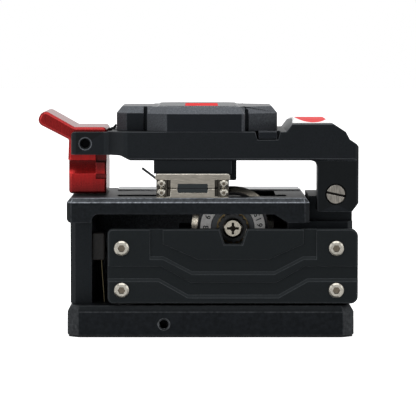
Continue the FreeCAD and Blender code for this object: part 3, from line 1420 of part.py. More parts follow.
# ================================================================ anvil
anvil_near = blade_plane_y - anvil_half
anvil_far = blade_plane_y + anvil_half
anvil_profile = [(anvil_left_x, anvil_bottom + anvil_underside_slope, anvil_corner_radius),
                 (anvil_right_x, anvil_bottom, anvil_corner_radius),
                 (anvil_right_x, anvil_pivot_z - anvil_hub_radius),
                 (anvil_pivot_x, anvil_pivot_z - anvil_hub_radius),
                 (anvil_pivot_x, anvil_pivot_z + anvil_hub_radius),
                 (anvil_left_x, anvil_top_left_z)]
anvil = prism(anvil_profile, "xz", anvil_near, anvil_far)
anvil = anvil.fuse(rod_y(anvil_pivot_x, anvil_pivot_z, anvil_near, anvil_far, anvil_hub_radius))
anvil = anvil.cut(rod_y(anvil_pivot_x, anvil_pivot_z, anvil_near - cut_margin, anvil_far + cut_margin,
                        anvil_pin_radius + anvil_pin_play))
tip_bottom = anvil_bottom - anvil_tip_drop
tip_half = anvil_tip_length / 2
tip_profile = [(fibre_x - tip_half, tip_bottom, anvil_tip_radius),
               (fibre_x + tip_half, tip_bottom, anvil_tip_radius),
               (fibre_x + tip_half, tip_bottom + anvil_tip_height),
               (fibre_x - tip_half, tip_bottom + anvil_tip_height)]
tip_near = blade_plane_y - anvil_tip_width / 2
tip_far = blade_plane_y + anvil_tip_width / 2
anvil_tip = prism(tip_profile, "xz", tip_near, tip_far)
anvil = anvil.cut(anvil_tip)
save("anvil_tip", anvil_tip)
save("anvil_arm", anvil.removeSplitter())

# ================================================================ latch lever
foot_bottom = platform_top + lever_foot_gap
lip_x = lever_front_x - lip_projection
lever_profile = [(lever_front_x, foot_bottom, lever_foot_radius),
                 (lever_rear_x, foot_bottom, lever_heel_radius), (lever_rear_x, lever_top, lever_top_radius),
                 (lever_bend_x, lever_top, tab_bend_radius),
                 (tab_tip_upper_x, tab_tip_upper_z, tab_tip_radius),
                 (tab_tip_lower_x, tab_tip_lower_z, tab_tip_radius),
                 (lever_front_x, lever_neck_z, tab_bend_radius), (lip_x, lip_bottom),
                 (lever_front_x, lip_bottom)]
lever_middle_half = lever_half_width - lever_edge_bevel
lever = prism(lever_profile, "xz", -lever_middle_half, lever_middle_half)
for side in (-1, 1):
    rims = [outline(lever_profile, "xz", side * lever_middle_half),
            outline(inset(lever_profile, lever_edge_bevel), "xz", side * lever_half_width)]
    lever = lever.fuse(Part.makeLoft(rims, True, True))
lever = lever.removeSplitter()
column_x = lever_rear_x - column_length
cut_bottom = arm_nose_underside - column_cut_lift
slot_top = arm_nose_underside - column_slot_top_drop
column_cuts = [(column_cut_depth, cut_bottom, arm_nose_underside + clearance_play),
               (column_slot_depth, slot_top - column_slot_height, slot_top)]
for side in (-1, 1):
    out = side * (lever_half_width + cut_margin)
    for depth, z_low, z_high in column_cuts:
        deep = side * (lever_half_width - depth)
        lever = lever.cut(block(column_x, lever_rear_x + cut_margin, min(deep, out), max(deep, out),
                                z_low, z_high))
    cove_y = side * (lever_half_width - cove_depth + cove_radius)
    cove = rod(Vector(lip_x - cut_margin, cove_y, lip_bottom), Vector(column_x, cove_y, lip_bottom),
               cove_radius)
    lever = lever.cut(cove.common(block(lip_x - cut_margin, column_x, -arm_half, arm_half,
                                        platform_top, lip_bottom)))
lever = lever.cut(rod_y(lever_pin_x, lever_pin_z, -lever_half_width - cut_margin,
                        lever_half_width + cut_margin, lever_pin_radius + lever_pin_play))
keeper = rod_z(magnet_x, 0, foot_bottom, foot_bottom + keeper_thickness, keeper_radius)
lever = lever.cut(rod_z(magnet_x, 0, foot_bottom - cut_margin, foot_bottom + keeper_thickness,
                        keeper_radius + thread_play))
save("latch_keeper", keeper)
save("lever", lever)
pin_end = fork_outer_half - lever_pin_depth
save("lever_pin", rod_y(lever_pin_x, lever_pin_z, -pin_end, pin_end, lever_pin_radius))

leaf_start_x = lever_rear_x + leaf_gap
leaf_profile = [(leaf_start_x + leaf_thickness, arm_top), (leaf_start_x + 3 * leaf_thickness, arm_top),
                (leaf_start_x + leaf_length + leaf_thickness, arm_top + leaf_rise),
                (leaf_start_x + leaf_length, arm_top + leaf_rise + leaf_thickness / 2)]
save("lever_leaf", prism(leaf_profile, "xz", -leaf_half_width, leaf_half_width))
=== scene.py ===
import bmesh
import bpy
import math
from mathutils import Matrix, Vector


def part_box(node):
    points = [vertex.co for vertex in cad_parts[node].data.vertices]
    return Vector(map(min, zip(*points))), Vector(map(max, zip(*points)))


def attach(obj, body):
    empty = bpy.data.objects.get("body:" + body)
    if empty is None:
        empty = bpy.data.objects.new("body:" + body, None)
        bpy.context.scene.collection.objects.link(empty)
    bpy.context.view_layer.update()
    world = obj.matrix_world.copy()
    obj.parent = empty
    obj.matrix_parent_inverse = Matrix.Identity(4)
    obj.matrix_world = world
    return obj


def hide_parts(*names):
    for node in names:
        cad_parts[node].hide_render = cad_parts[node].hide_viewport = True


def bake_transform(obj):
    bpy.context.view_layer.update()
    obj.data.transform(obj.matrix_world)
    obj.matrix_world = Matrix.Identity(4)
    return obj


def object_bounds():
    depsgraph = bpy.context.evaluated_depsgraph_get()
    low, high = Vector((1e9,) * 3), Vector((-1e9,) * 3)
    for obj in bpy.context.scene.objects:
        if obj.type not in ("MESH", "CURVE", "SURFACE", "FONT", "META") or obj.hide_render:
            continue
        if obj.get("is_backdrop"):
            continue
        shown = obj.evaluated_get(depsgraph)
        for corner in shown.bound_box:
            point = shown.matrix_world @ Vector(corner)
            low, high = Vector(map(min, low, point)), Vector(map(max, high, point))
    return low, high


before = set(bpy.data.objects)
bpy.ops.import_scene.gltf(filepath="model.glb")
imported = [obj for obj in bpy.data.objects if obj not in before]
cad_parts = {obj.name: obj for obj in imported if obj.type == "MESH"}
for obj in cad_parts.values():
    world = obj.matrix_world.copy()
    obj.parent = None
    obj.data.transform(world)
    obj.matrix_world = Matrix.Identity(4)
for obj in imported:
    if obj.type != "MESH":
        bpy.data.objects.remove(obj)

cad_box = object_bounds()
MM = 0.001

# ==================================================================== studio
# A white table and white surroundings, dim only behind the viewer, with one soft box overhead and
# one at each side. The camera stands well back from the side plate, a little above the platform.


def node_material(name):
    """A new material with its nodes cleared, its output and its main shader."""
    made = bpy.data.materials.new(name)
    made.use_nodes = True
    tree = made.node_tree
    tree.nodes.clear()
    output = tree.nodes.new("ShaderNodeOutputMaterial")
    shader = tree.nodes.new("ShaderNodeBsdfPrincipled")
    tree.links.new(shader.outputs["BSDF"], output.inputs["Surface"])
    return made, tree, shader


def soft_box(name, place, target, width, height, power):
    """Rectangular lamp at a place, in metres, turned towards a target."""
    data = bpy.data.lights.new(name, "AREA")
    data.shape = "RECTANGLE"
    data.size = width
    data.size_y = height
    data.energy = power
    lamp = bpy.data.objects.new(name, data)
    lamp.location = place
    lamp.rotation_euler = (Vector(target) - Vector(place)).to_track_quat("-Z", "Y").to_euler()
    bpy.context.scene.collection.objects.link(lamp)


bpy.context.scene.view_settings.view_transform = "Standard"
world = bpy.data.worlds.new("studio")
bpy.context.scene.world = world
world.use_nodes = True
sky = world.node_tree
sky.nodes.clear()
sky_out = sky.nodes.new("ShaderNodeOutputWorld")
sky_shader = sky.nodes.new("ShaderNodeBackground")
sky_direction = sky.nodes.new("ShaderNodeTexCoord")
sky_axes = sky.nodes.new("ShaderNodeSeparateXYZ")
sky_depth = sky.nodes.new("ShaderNodeMapRange")
sky_depth.inputs["From Min"].default_value = -0.98
sky_depth.inputs["From Max"].default_value = -0.1
sky_depth.inputs["To Min"].default_value = 0.14
sky_depth.inputs["To Max"].default_value = 0.9
sky_path = sky.nodes.new("ShaderNodeLightPath")
sky_mix = sky.nodes.new("ShaderNodeMix")
sky_mix.data_type = "RGBA"
sky.links.new(sky_direction.outputs["Generated"], sky_axes.inputs["Vector"])
sky.links.new(sky_axes.outputs["Y"], sky_depth.inputs["Value"])
sky.links.new(sky_path.outputs["Is Camera Ray"], sky_mix.inputs["Factor"])
sky.links.new(sky_depth.outputs["Result"], sky_mix.inputs["A"])
sky_mix.inputs["B"].default_value = (1, 1, 1, 1)
sky.links.new(sky_mix.outputs["Result"], sky_shader.inputs["Color"])
sky_shader.inputs["Strength"].default_value = 1.0
sky.links.new(sky_shader.outputs["Background"], sky_out.inputs["Surface"])

floor_half = 3.0
floor_mesh = bpy.data.meshes.new("floor")
floor_drop = -0.05 * MM
floor_mesh.from_pydata([(-floor_half, -floor_half, floor_drop), (floor_half, -floor_half, floor_drop),
                        (floor_half, floor_half, floor_drop), (-floor_half, floor_half, floor_drop)],
                       [], [(0, 1, 2, 3)])
floor = bpy.data.objects.new("floor", floor_mesh)
bpy.context.scene.collection.objects.link(floor)
floor_material, floor_tree, floor_shader = node_material("white_table")
floor_shader.inputs["Base Color"].default_value = (0.86, 0.86, 0.86, 1)
floor_shader.inputs["Roughness"].default_value = 0.7
floor_path = floor_tree.nodes.new("ShaderNodeLightPath")
floor_lift = floor_tree.nodes.new("ShaderNodeMath")
floor_lift.operation = "MULTIPLY"
floor_lift.inputs[1].default_value = 0.62
floor_tree.links.new(floor_path.outputs["Is Camera Ray"], floor_lift.inputs[0])
floor_shader.inputs["Emission Color"].default_value = (1, 1, 1, 1)
floor_tree.links.new(floor_lift.outputs["Value"], floor_shader.inputs["Emission Strength"])
floor_mesh.materials.append(floor_material)
floor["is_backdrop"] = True

soft_box("top_box", (0.0, -0.15, 0.75), (0, 0, 0.03), 0.8, 0.8, 4.0)
soft_box("left_box", (-0.75, -0.35, 0.35), (0, 0, 0.03), 0.5, 0.6, 1.7)
soft_box("right_box", (0.75, -0.25, 0.35), (0, 0, 0.03), 0.5, 0.6, 1.2)
soft_box("front_box", (-0.45, -1.1, 0.18), (0, 0, 0.025), 0.4, 0.3, 2.2)

frame_width = 416
focal_length = 2667.0
view_axis = 197.0
camera_tilt = 3.7
camera_place = (-3.33 * MM, -670.6 * MM, 73.44 * MM)
camera_data = bpy.data.cameras.new("camera")
camera_data.sensor_width = 36.0
camera_data.lens = camera_data.sensor_width * focal_length / frame_width
camera_data.shift_x = (frame_width / 2 - view_axis) / frame_width
camera_data.clip_start = 0.01
camera_data.clip_end = 10.0
camera = bpy.data.objects.new("camera", camera_data)
camera.location = camera_place
camera.rotation_euler = (math.radians(90 - camera_tilt), 0, 0)
bpy.context.scene.collection.objects.link(camera)
bpy.context.scene.camera = camera

# ==================================================================== base plate
# Milled from aluminium bar, blasted with fine beads and anodised black. The cutter leaves a small
# chamfer on every outside edge, where the black is a little lighter, partly as wear and partly as painted
# highlight.


def shared_group(name, inputs, outputs):
    """A node group with named sockets, its input node and its output node."""
    tree = bpy.data.node_groups.new(name, "ShaderNodeTree")
    for label, kind, value in inputs:
        made = tree.interface.new_socket(name=label, in_out="INPUT", socket_type=kind)
        made.default_value = value
    for label, kind in outputs:
        tree.interface.new_socket(name=label, in_out="OUTPUT", socket_type=kind)
    return tree, tree.nodes.new("NodeGroupInput"), tree.nodes.new("NodeGroupOutput")


def worn_edges_group():
    """Colour and roughness that change on the chamfers, broken up by noise. The lighter edge colour is partly
    wear and partly painted highlight, and the recess colour is mostly painted shade.
    """
    tree, given, result = shared_group(
        "edge_wear_and_painted_light",
        [("Face Color", "NodeSocketColor", (0, 0, 0, 1)), ("Edge Color", "NodeSocketColor", (0, 0, 0, 1)),
         ("Face Roughness", "NodeSocketFloat", 0.5), ("Edge Roughness", "NodeSocketFloat", 0.4),
         ("Recess Color", "NodeSocketColor", (0, 0, 0, 1)), ("Patch Scale", "NodeSocketFloat", 2600.0)],
        [("Color", "NodeSocketColor"), ("Roughness", "NodeSocketFloat")])
    mark = tree.nodes.new("ShaderNodeAttribute")
    mark.attribute_name = "edge"
    place = tree.nodes.new("ShaderNodeTexCoord")
    patches = tree.nodes.new("ShaderNodeTexNoise")
    patches.inputs["Detail"].default_value = 3.0
    spread = tree.nodes.new("ShaderNodeMapRange")
    spread.inputs["From Min"].default_value = 0.3
    spread.inputs["From Max"].default_value = 0.6
    spread.inputs["To Min"].default_value = 0.6
    share = tree.nodes.new("ShaderNodeMath")
    share.operation = "MULTIPLY"
    colour = tree.nodes.new("ShaderNodeMix")
    colour.data_type = "RGBA"
    rough = tree.nodes.new("ShaderNodeMix")
    tree.links.new(place.outputs["Object"], patches.inputs["Vector"])
    tree.links.new(given.outputs["Patch Scale"], patches.inputs["Scale"])
    tree.links.new(patches.outputs["Fac"], spread.inputs["Value"])
    tree.links.new(mark.outputs["Fac"], share.inputs[0])
    tree.links.new(spread.outputs["Result"], share.inputs[1])
    tree.links.new(share.outputs["Value"], colour.inputs["Factor"])
    tree.links.new(share.outputs["Value"], rough.inputs["Factor"])
    tree.links.new(given.outputs["Face Color"], colour.inputs["A"])
    tree.links.new(given.outputs["Edge Color"], colour.inputs["B"])
    tree.links.new(given.outputs["Face Roughness"], rough.inputs["A"])
    tree.links.new(given.outputs["Edge Roughness"], rough.inputs["B"])
    hollow = tree.nodes.new("ShaderNodeAttribute")
    hollow.attribute_name = "recess"
    shaded = tree.nodes.new("ShaderNodeMix")
    shaded.data_type = "RGBA"
    tree.links.new(hollow.outputs["Fac"], shaded.inputs["Factor"])
    tree.links.new(colour.outputs["Result"], shaded.inputs["A"])
    tree.links.new(given.outputs["Recess Color"], shaded.inputs["B"])
    tree.links.new(shaded.outputs["Result"], result.inputs["Color"])
    tree.links.new(rough.outputs["Result"], result.inputs["Roughness"])
    return tree


def grain_group():
    """Noise stretched along the three axes: a tone round 1 and a height for the bump."""
    tree, given, result = shared_group(
        "surface_grain",
        [("Stretch", "NodeSocketVector", (1, 1, 1)), ("Scale", "NodeSocketFloat", 3000.0),
         ("Tone Low", "NodeSocketFloat", 0.9), ("Tone High", "NodeSocketFloat", 1.1)],
        [("Tone", "NodeSocketFloat"), ("Height", "NodeSocketFloat")])
    place = tree.nodes.new("ShaderNodeTexCoord")
    stretched = tree.nodes.new("ShaderNodeVectorMath")
    stretched.operation = "MULTIPLY"
    noise = tree.nodes.new("ShaderNodeTexNoise")
    noise.inputs["Detail"].default_value = 2.0
    tone = tree.nodes.new("ShaderNodeMapRange")
    tone.inputs["From Min"].default_value = 0.3
    tone.inputs["From Max"].default_value = 0.7
    tree.links.new(place.outputs["Object"], stretched.inputs[0])
    tree.links.new(given.outputs["Stretch"], stretched.inputs[1])
    tree.links.new(stretched.outputs["Vector"], noise.inputs["Vector"])
    tree.links.new(given.outputs["Scale"], noise.inputs["Scale"])
    tree.links.new(noise.outputs["Fac"], tone.inputs["Value"])
    tree.links.new(given.outputs["Tone Low"], tone.inputs["To Min"])
    tree.links.new(given.outputs["Tone High"], tone.inputs["To Max"])
    tree.links.new(tone.outputs["Result"], result.inputs["Tone"])
    tree.links.new(noise.outputs["Fac"], result.inputs["Height"])
    return tree


edge_wear_and_painted_light = worn_edges_group()
surface_grain = grain_group()
cool_sheen = (0.80, 0.92, 1.0, 1)


def grained(name, face, edge, rough, edge_rough, metallic, specular, stretch=(1, 1, 1), scale=4000.0,
            tone=0.1, bump=0.15, recess=(0.0015, 0.0015, 0.0015)):
    """Material of a finished surface: base colour and roughness from both shared groups, and a bump. Its edge
    colour is partly wear and partly painted highlight, and its recess colour is mostly painted shade.
    """
    made, tree, shader = node_material(name)
    wear_and_painted_light = tree.nodes.new("ShaderNodeGroup")
    wear_and_painted_light.node_tree = edge_wear_and_painted_light
    wear_and_painted_light.inputs["Face Color"].default_value = (*face, 1)
    wear_and_painted_light.inputs["Edge Color"].default_value = (*edge, 1)
    wear_and_painted_light.inputs["Face Roughness"].default_value = rough
    wear_and_painted_light.inputs["Edge Roughness"].default_value = edge_rough
    wear_and_painted_light.inputs["Recess Color"].default_value = (*recess, 1)
    grain = tree.nodes.new("ShaderNodeGroup")
    grain.node_tree = surface_grain
    grain.inputs["Stretch"].default_value = stretch
    grain.inputs["Scale"].default_value = scale
    grain.inputs["Tone Low"].default_value = 1 - tone
    grain.inputs["Tone High"].default_value = 1 + tone
    toned = tree.nodes.new("ShaderNodeMix")
    toned.data_type = "RGBA"
    toned.blend_type = "MULTIPLY"
    toned.inputs["Factor"].default_value = 1.0
    relief = tree.nodes.new("ShaderNodeBump")
    relief.inputs["Strength"].default_value = bump
    relief.inputs["Distance"].default_value = 0.02 * MM
    tree.links.new(wear_and_painted_light.outputs["Color"], toned.inputs["A"])
    tree.links.new(grain.outputs["Tone"], toned.inputs["B"])
    tree.links.new(toned.outputs["Result"], shader.inputs["Base Color"])
    tree.links.new(wear_and_painted_light.outputs["Roughness"], shader.inputs["Roughness"])
    tree.links.new(grain.outputs["Height"], relief.inputs["Height"])
    tree.links.new(relief.outputs["Normal"], shader.inputs["Normal"])
    shader.inputs["Metallic"].default_value = metallic
    shader.inputs["Specular IOR Level"].default_value = specular
    if metallic == 0:
        shader.inputs["Specular Tint"].default_value = cool_sheen
    return made


def evened(piece):
    """Bake area-weighted normals into the piece, so that flat faces stay flat beside their chamfers."""
    weigh = piece.modifiers.new("evened", "WEIGHTED_NORMAL")
    weigh.keep_sharp = True
    weigh.weight = 100
    graph = bpy.context.evaluated_depsgraph_get()
    baked = bpy.data.meshes.new_from_object(piece.evaluated_get(graph), depsgraph=graph)
    piece.modifiers.clear()
    piece.data = baked


def chamfered(node, body, finish, width, angle=28.0, smooth=20.0, marks=None, cutter=None, adjust=None,
              clamp=True, chamfer_wear_and_highlight=None, chosen=None):
    """The node's solid with its sharp edges chamfered, and cut by a cutter if there is one.

    Chamfers carry the face attribute edge, which makes them lighter, partly as wear and partly as painted
    highlight; marks gives other faces their edge and recess shares, mostly painted highlight and painted shade."""
    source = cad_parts[node]
    mesh = bpy.data.meshes.new(node + "_shape")
    work = bmesh.new()
    work.from_mesh(source.data)
    bmesh.ops.remove_doubles(work, verts=work.verts, dist=2e-6)
    bmesh.ops.dissolve_limit(work, angle_limit=math.radians(0.6), verts=work.verts, edges=work.edges)
    limit = math.radians(angle)
    sharp = [e for e in work.edges if len(e.link_faces) == 2 and e.calc_face_angle(0) > limit]
    if chosen:
        sharp = [e for e in sharp if chosen((e.verts[0].co + e.verts[1].co) / (2 * MM))]
    mark = work.faces.layers.float.new("edge")
    hollow = work.faces.layers.float.new("recess")
    if marks:
        for face in work.faces:
            face[mark], face[hollow] = marks(face.calc_center_median() / MM, face.normal)
    if adjust:
        for vertex in work.verts:
            vertex.co += adjust(vertex) * MM
    if width > 0 and sharp:
        cut = bmesh.ops.bevel(work, geom=sharp, offset=width * MM, segments=1, profile=0.5, affect="EDGES",
                              clamp_overlap=clamp)
        for face in cut["faces"]:
            face[mark] = chamfer_wear_and_highlight(face.calc_center_median() / MM, face.normal) if chamfer_wear_and_highlight else 1.0
    work.to_mesh(mesh)
    work.free()
    mesh.shade_smooth()
    mesh.set_sharp_from_angle(angle=math.radians(smooth))
    piece = bpy.data.objects.new(node + "_finished", mesh)
    bpy.context.scene.collection.objects.link(piece)
    mesh.materials.append(finish)
    if cutter:
        cut = piece.modifiers.new("cut", "BOOLEAN")
        cut.object = cutter
        cut.solver = "EXACT"
    evened(piece)
    if cutter:
        bpy.data.objects.remove(cutter)
    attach(piece, body)
    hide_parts(node)


black_anodise = grained("black_anodise", (0.0040, 0.0045, 0.0055), (0.075, 0.080, 0.088), 0.44, 0.32, 0.0, 0.15,
                        scale=2500.0, tone=0.3, bump=0.2)
mat_rubber = grained("mat_rubber", (0.012, 0.012, 0.012), (0.012, 0.012, 0.012), 0.8, 0.8, 0.0, 0.3,
                     scale=1500.0, tone=0.2, bump=0.4)
dark_steel = grained("dark_steel", (0.09, 0.09, 0.095), (0.2, 0.2, 0.2), 0.35, 0.3, 1.0, 0.5)


def base_marks(centre, normal):
    """The cut corners carry a painted reflection, lighter than the sides, and the wide chamfer carries a
    painted shadow.
    """
    if abs(normal.x) > 0.3 and abs(normal.y) > 0.3:
        return 0.2, 0.0
    return 0.0, (0.6 if 0.3 < normal.z < 0.95 else 0.0)


def base_wear(centre, normal):
    """The rim of the small front hole carries a brighter painted highlight than the plate's long edges."""
    hole_x, hole_z, rim_reach = -11.4, 3.2, 1.6
    return 0.7 if math.hypot(centre.x - hole_x, centre.z - hole_z) < rim_reach else 0.22


base_anodise = grained("base_anodise", (0.0040, 0.0045, 0.0055), (0.09, 0.094, 0.10), 0.44, 0.32, 0.0, 0.11,
                       scale=1100.0, tone=0.5, bump=0.3)
chamfered("base_plate", "base", base_anodise, 0.15, marks=base_marks, clamp=False,
          chamfer_wear_and_highlight=base_wear)
chamfered("base_mat", "base", mat_rubber, 0.1)
chamfered("base_screws", "base", dark_steel, 0.15)

# ==================================================================== body frame and platform
# The frame is one milled block with an open bay for the carriage. The platform sits on it, and its
# ground top carries the clamps; the thin bright plate behind them guides a fibre holder.


def frame_marks(centre, normal):
    """The walls of the open bay carry painted light: they are a little paler than the outside."""
    in_bay = -29.5 < centre.x < 19.4 and -16.6 < centre.y < 18 and 7.6 < centre.z < 28
    return (1.0 if in_bay else 0.0), 0.0


chamfered("body_frame", "base", black_anodise, 0.2, marks=frame_marks)
platform_anodise = grained("platform_anodise", (0.0042, 0.0047, 0.0056), (0.22, 0.235, 0.26), 0.42, 0.25,
                           0.0, 0.12, scale=1400.0, tone=0.5, bump=0.35)


platform_chamfer_z = 32.0


def platform_marks(centre, normal):
    """The ground top and the milled chamfer round it carry a painted reflection, lighter than the sides."""
    top_z = 33.5
    if normal.z > 0.97:
        return (0.13 if centre.z > top_z else 0.0), 0.0
    if 0.3 < normal.z <= 0.97 and centre.z > platform_chamfer_z:
        return 0.14, 0.0
    return 0.0, 0.0


def platform_outline(centre):
    """Whether an edge runs round the platform's outside, clear of the slots and seats."""
    side_y, left_x, right_x = 21.9, -33.9, 22.9
    return abs(centre.y) > side_y or centre.x < left_x or centre.x > right_x


def platform_wear(centre, normal):
    """Only the edge under the ground chamfer is bright, a painted highlight."""
    return 0.9 if centre.z > platform_chamfer_z else 0.07


chamfered("platform", "base", platform_anodise, 0.16, marks=platform_marks, clamp=False,
          chamfer_wear_and_highlight=platform_wear, chosen=platform_outline)
guide_alu = grained("guide_alu", (0.42, 0.43, 0.44), (0.6, 0.6, 0.6), 0.32, 0.3, 1.0, 0.5,
                    stretch=(0.1, 1, 1), scale=3000.0, tone=0.12)
chamfered("guide_plate", "base", guide_alu, 0.06)
magnet_nickel = grained("magnet_nickel", (0.6, 0.6, 0.58), (0.7, 0.7, 0.68), 0.2, 0.2, 1.0, 0.5)
chamfered("latch_magnet", "base", magnet_nickel, 0.12)

# ==================================================================== lower clamps
# Two hardened steel jaws in shallow seats of the platform, ground along the fibre's crossing, each
# with a rubber pad let into its top and a small round stud at each recessed end.

clamp_steel = grained("clamp_steel", (0.27, 0.25, 0.215), (0.70, 0.67, 0.60), 0.34, 0.22, 1.0, 0.5,
                      stretch=(0.05, 1, 1), scale=13000.0, tone=0.3, bump=0.3, recess=(0.02, 0.018, 0.015))
pad_rubber = grained("pad_rubber", (0.011, 0.0125, 0.0125), (0.05, 0.05, 0.05), 0.6, 0.6, 0.0, 0.3,
                     scale=3000.0, tone=0.15)


def clamp_marks(centre, normal):
    """The stepped ends behind the studs, and the slits beside them, carry painted shade."""
    near_face, near_back, far_back, far_face = -21.6, -19.0, -5.0, -2.4
    middle_x, pad_half = -4.4, 5.2
    behind = near_face + 0.1 < centre.y < near_back or far_back < centre.y < far_face - 0.1
    return 0.0, (0.9 if behind and abs(centre.x - middle_x) > pad_half and abs(normal.z) < 0.9 else 0.0)


for side in ("near", "far"):
    chamfered("lower_clamp_" + side, "base", clamp_steel, 0.07, marks=clamp_marks)
    chamfered("lower_pad_" + side, "base", pad_rubber, 0.04)

# ==================================================================== rail, bumper and stop wire
# The slide rail is ground steel with a groove along each side. The bumper is moulded rubber let into
# the frame's left wall, and a drawn brass wire stands under it as the carriage's front stop.

rail_steel = grained("rail_steel", (0.30, 0.30, 0.30), (0.45, 0.45, 0.45), 0.28, 0.25, 1.0, 0.5,
                     stretch=(0.05, 1, 1), scale=5000.0, tone=0.15)
bumper_rubber = grained("bumper_rubber", (0.020, 0.017, 0.015), (0.024, 0.02, 0.018), 0.7, 0.7, 0.0, 0.3,
                        scale=1800.0, tone=0.2)
stop_brass = grained("stop_brass", (0.10, 0.085, 0.05), (0.3, 0.25, 0.15), 0.3, 0.3, 1.0, 0.5,
                     stretch=(1, 1, 0.1), scale=4000.0)
chamfered("slide_rail", "base", rail_steel, 0.1)
chamfered("rail_screws", "base", dark_steel, 0.08)
chamfered("bumper", "base", bumper_rubber, 0.25)
wire_shift = Vector((-0.55, 0, 0))
chamfered("stop_wire", "base", stop_brass, 0.0, adjust=lambda vertex: wire_shift)

# ==================================================================== carriage and its side plate
# The carriage block hangs from the side plate's beam and slides on the rail. The side plate is
# milled with two stepped channels and held by four nickel-plated button head screws.

chamfered("carriage_frame", "carriage", black_anodise, 0.15)
chamfered("bearing_block", "carriage", rail_steel, 0.12)
chamfered("bearing_screws", "carriage", dark_steel, 0.15)
plate_anodise = grained("plate_anodise", (0.0040, 0.0047, 0.0050), (0.024, 0.026, 0.028), 0.46, 0.34, 0.0,
                        0.15, scale=2500.0, tone=0.2, bump=0.15)
chamfered("side_plate", "carriage", plate_anodise, 0.10, angle=24.0)


def tree_socket(tree, label, kind, value=None):
    """Add a named input to a geometry tree."""
    made = tree.interface.new_socket(name=label, in_out="INPUT", socket_type=kind)
    if value is not None:
        made.default_value = value


def measured(tree, kind, links, values=()):
    """A math node with its inputs linked or set."""
    node = tree.nodes.new("ShaderNodeMath")
    node.operation = kind
    for index, source in links:
        tree.links.new(source, node.inputs[index])
    for index, value in values:
        node.inputs[index].default_value = value
    return node.outputs["Value"]


def raised(tree, geometry, height):
    """Move a geometry up by a height."""
    lift = tree.nodes.new("ShaderNodeCombineXYZ")
    tree.links.new(height, lift.inputs["Z"])
    move = tree.nodes.new("GeometryNodeTransform")
    tree.links.new(geometry, move.inputs["Geometry"])
    tree.links.new(lift.outputs["Vector"], move.inputs["Translation"])
    return move.outputs["Geometry"]


def placed_on_points(tree, given, geometry):
    """Instances on the host's points, turned by Turn, made real and given the Finish."""
    spread = tree.nodes.new("GeometryNodeInstanceOnPoints")
    turn = tree.nodes.new("FunctionNodeEulerToRotation")
    real = tree.nodes.new("GeometryNodeRealizeInstances")
    coat = tree.nodes.new("GeometryNodeSetMaterial")
    result = tree.nodes.new("NodeGroupOutput")
    tree.interface.new_socket(name="Geometry", in_out="OUTPUT", socket_type="NodeSocketGeometry")
    tree.links.new(given.outputs["Geometry"], spread.inputs["Points"])
    tree.links.new(geometry, spread.inputs["Instance"])
    tree.links.new(given.outputs["Turn"], turn.inputs["Euler"])
    tree.links.new(turn.outputs["Rotation"], spread.inputs["Rotation"])
    tree.links.new(spread.outputs["Instances"], real.inputs["Geometry"])
    tree.links.new(real.outputs["Geometry"], coat.inputs["Geometry"])
    tree.links.new(given.outputs["Finish"], coat.inputs["Material"])
    tree.links.new(coat.outputs["Geometry"], result.inputs["Geometry"])


def socket_screw_tree():
    """Button head with a chamfered rim and a hexagon socket, standing on the origin along +Z."""
    tree = bpy.data.node_groups.new("socket_screw", "GeometryNodeTree")
    tree_socket(tree, "Geometry", "NodeSocketGeometry")
    for label, value in (("Head Radius", 1.8 * MM), ("Head Height", 1.2 * MM), ("Rim Chamfer", 0.3 * MM),
                         ("Socket Radius", 0.9 * MM), ("Socket Depth", 0.7 * MM)):
        tree_socket(tree, label, "NodeSocketFloat", value)
    tree_socket(tree, "Turn", "NodeSocketVector", (0, 0, 0))
    tree_socket(tree, "Finish", "NodeSocketMaterial")
    given = tree.nodes.new("NodeGroupInput")
    radius = given.outputs["Head Radius"]
    height = given.outputs["Head Height"]
    chamfer = given.outputs["Rim Chamfer"]
    top_radius = measured(tree, "SUBTRACT", [(0, radius), (1, chamfer)])
    wall = measured(tree, "SUBTRACT", [(0, height), (1, chamfer)])
    body = tree.nodes.new("GeometryNodeMeshCone")
    body.inputs["Vertices"].default_value = 48
    tree.links.new(radius, body.inputs["Radius Top"])
    tree.links.new(radius, body.inputs["Radius Bottom"])
    tree.links.new(wall, body.inputs["Depth"])
    rim = tree.nodes.new("GeometryNodeMeshCone")
    rim.inputs["Vertices"].default_value = 48
    tree.links.new(top_radius, rim.inputs["Radius Top"])
    tree.links.new(radius, rim.inputs["Radius Bottom"])
    tree.links.new(chamfer, rim.inputs["Depth"])
    rim_up = raised(tree, rim.outputs["Mesh"], wall)
    union = tree.nodes.new("GeometryNodeMeshBoolean")
    union.operation = "UNION"
    union.solver = "EXACT"
    tree.links.new(body.outputs["Mesh"], union.inputs["Mesh 2"])
    tree.links.new(rim_up, union.inputs["Mesh 2"])
    bit = tree.nodes.new("GeometryNodeMeshCone")
    bit.inputs["Vertices"].default_value = 6
    deep = measured(tree, "MULTIPLY", [(0, given.outputs["Socket Depth"])], [(1, 2.0)])
    tree.links.new(given.outputs["Socket Radius"], bit.inputs["Radius Top"])
    narrow = measured(tree, "MULTIPLY", [(0, given.outputs["Socket Radius"])], [(1, 0.9)])
    tree.links.new(narrow, bit.inputs["Radius Bottom"])
    tree.links.new(deep, bit.inputs["Depth"])
    bit_base = measured(tree, "SUBTRACT", [(0, height), (1, given.outputs["Socket Depth"])])
    # The socket's faces are marked recess, so the socket carries painted shade.
    hollow = tree.nodes.new("GeometryNodeStoreNamedAttribute")
    hollow.data_type = "FLOAT"
    hollow.domain = "FACE"
    hollow.inputs["Name"].default_value = "recess"
    hollow.inputs["Value"].default_value = 1.0
    tree.links.new(raised(tree, bit.outputs["Mesh"], bit_base), hollow.inputs["Geometry"])
    bit_up = hollow.outputs["Geometry"]
    socket = tree.nodes.new("GeometryNodeMeshBoolean")
    socket.operation = "DIFFERENCE"
    socket.solver = "EXACT"
    tree.links.new(union.outputs["Mesh"], socket.inputs["Mesh 1"])
    tree.links.new(bit_up, socket.inputs["Mesh 2"])
    placed_on_points(tree, given, socket.outputs["Mesh"])
    return tree


socket_screw = socket_screw_tree()


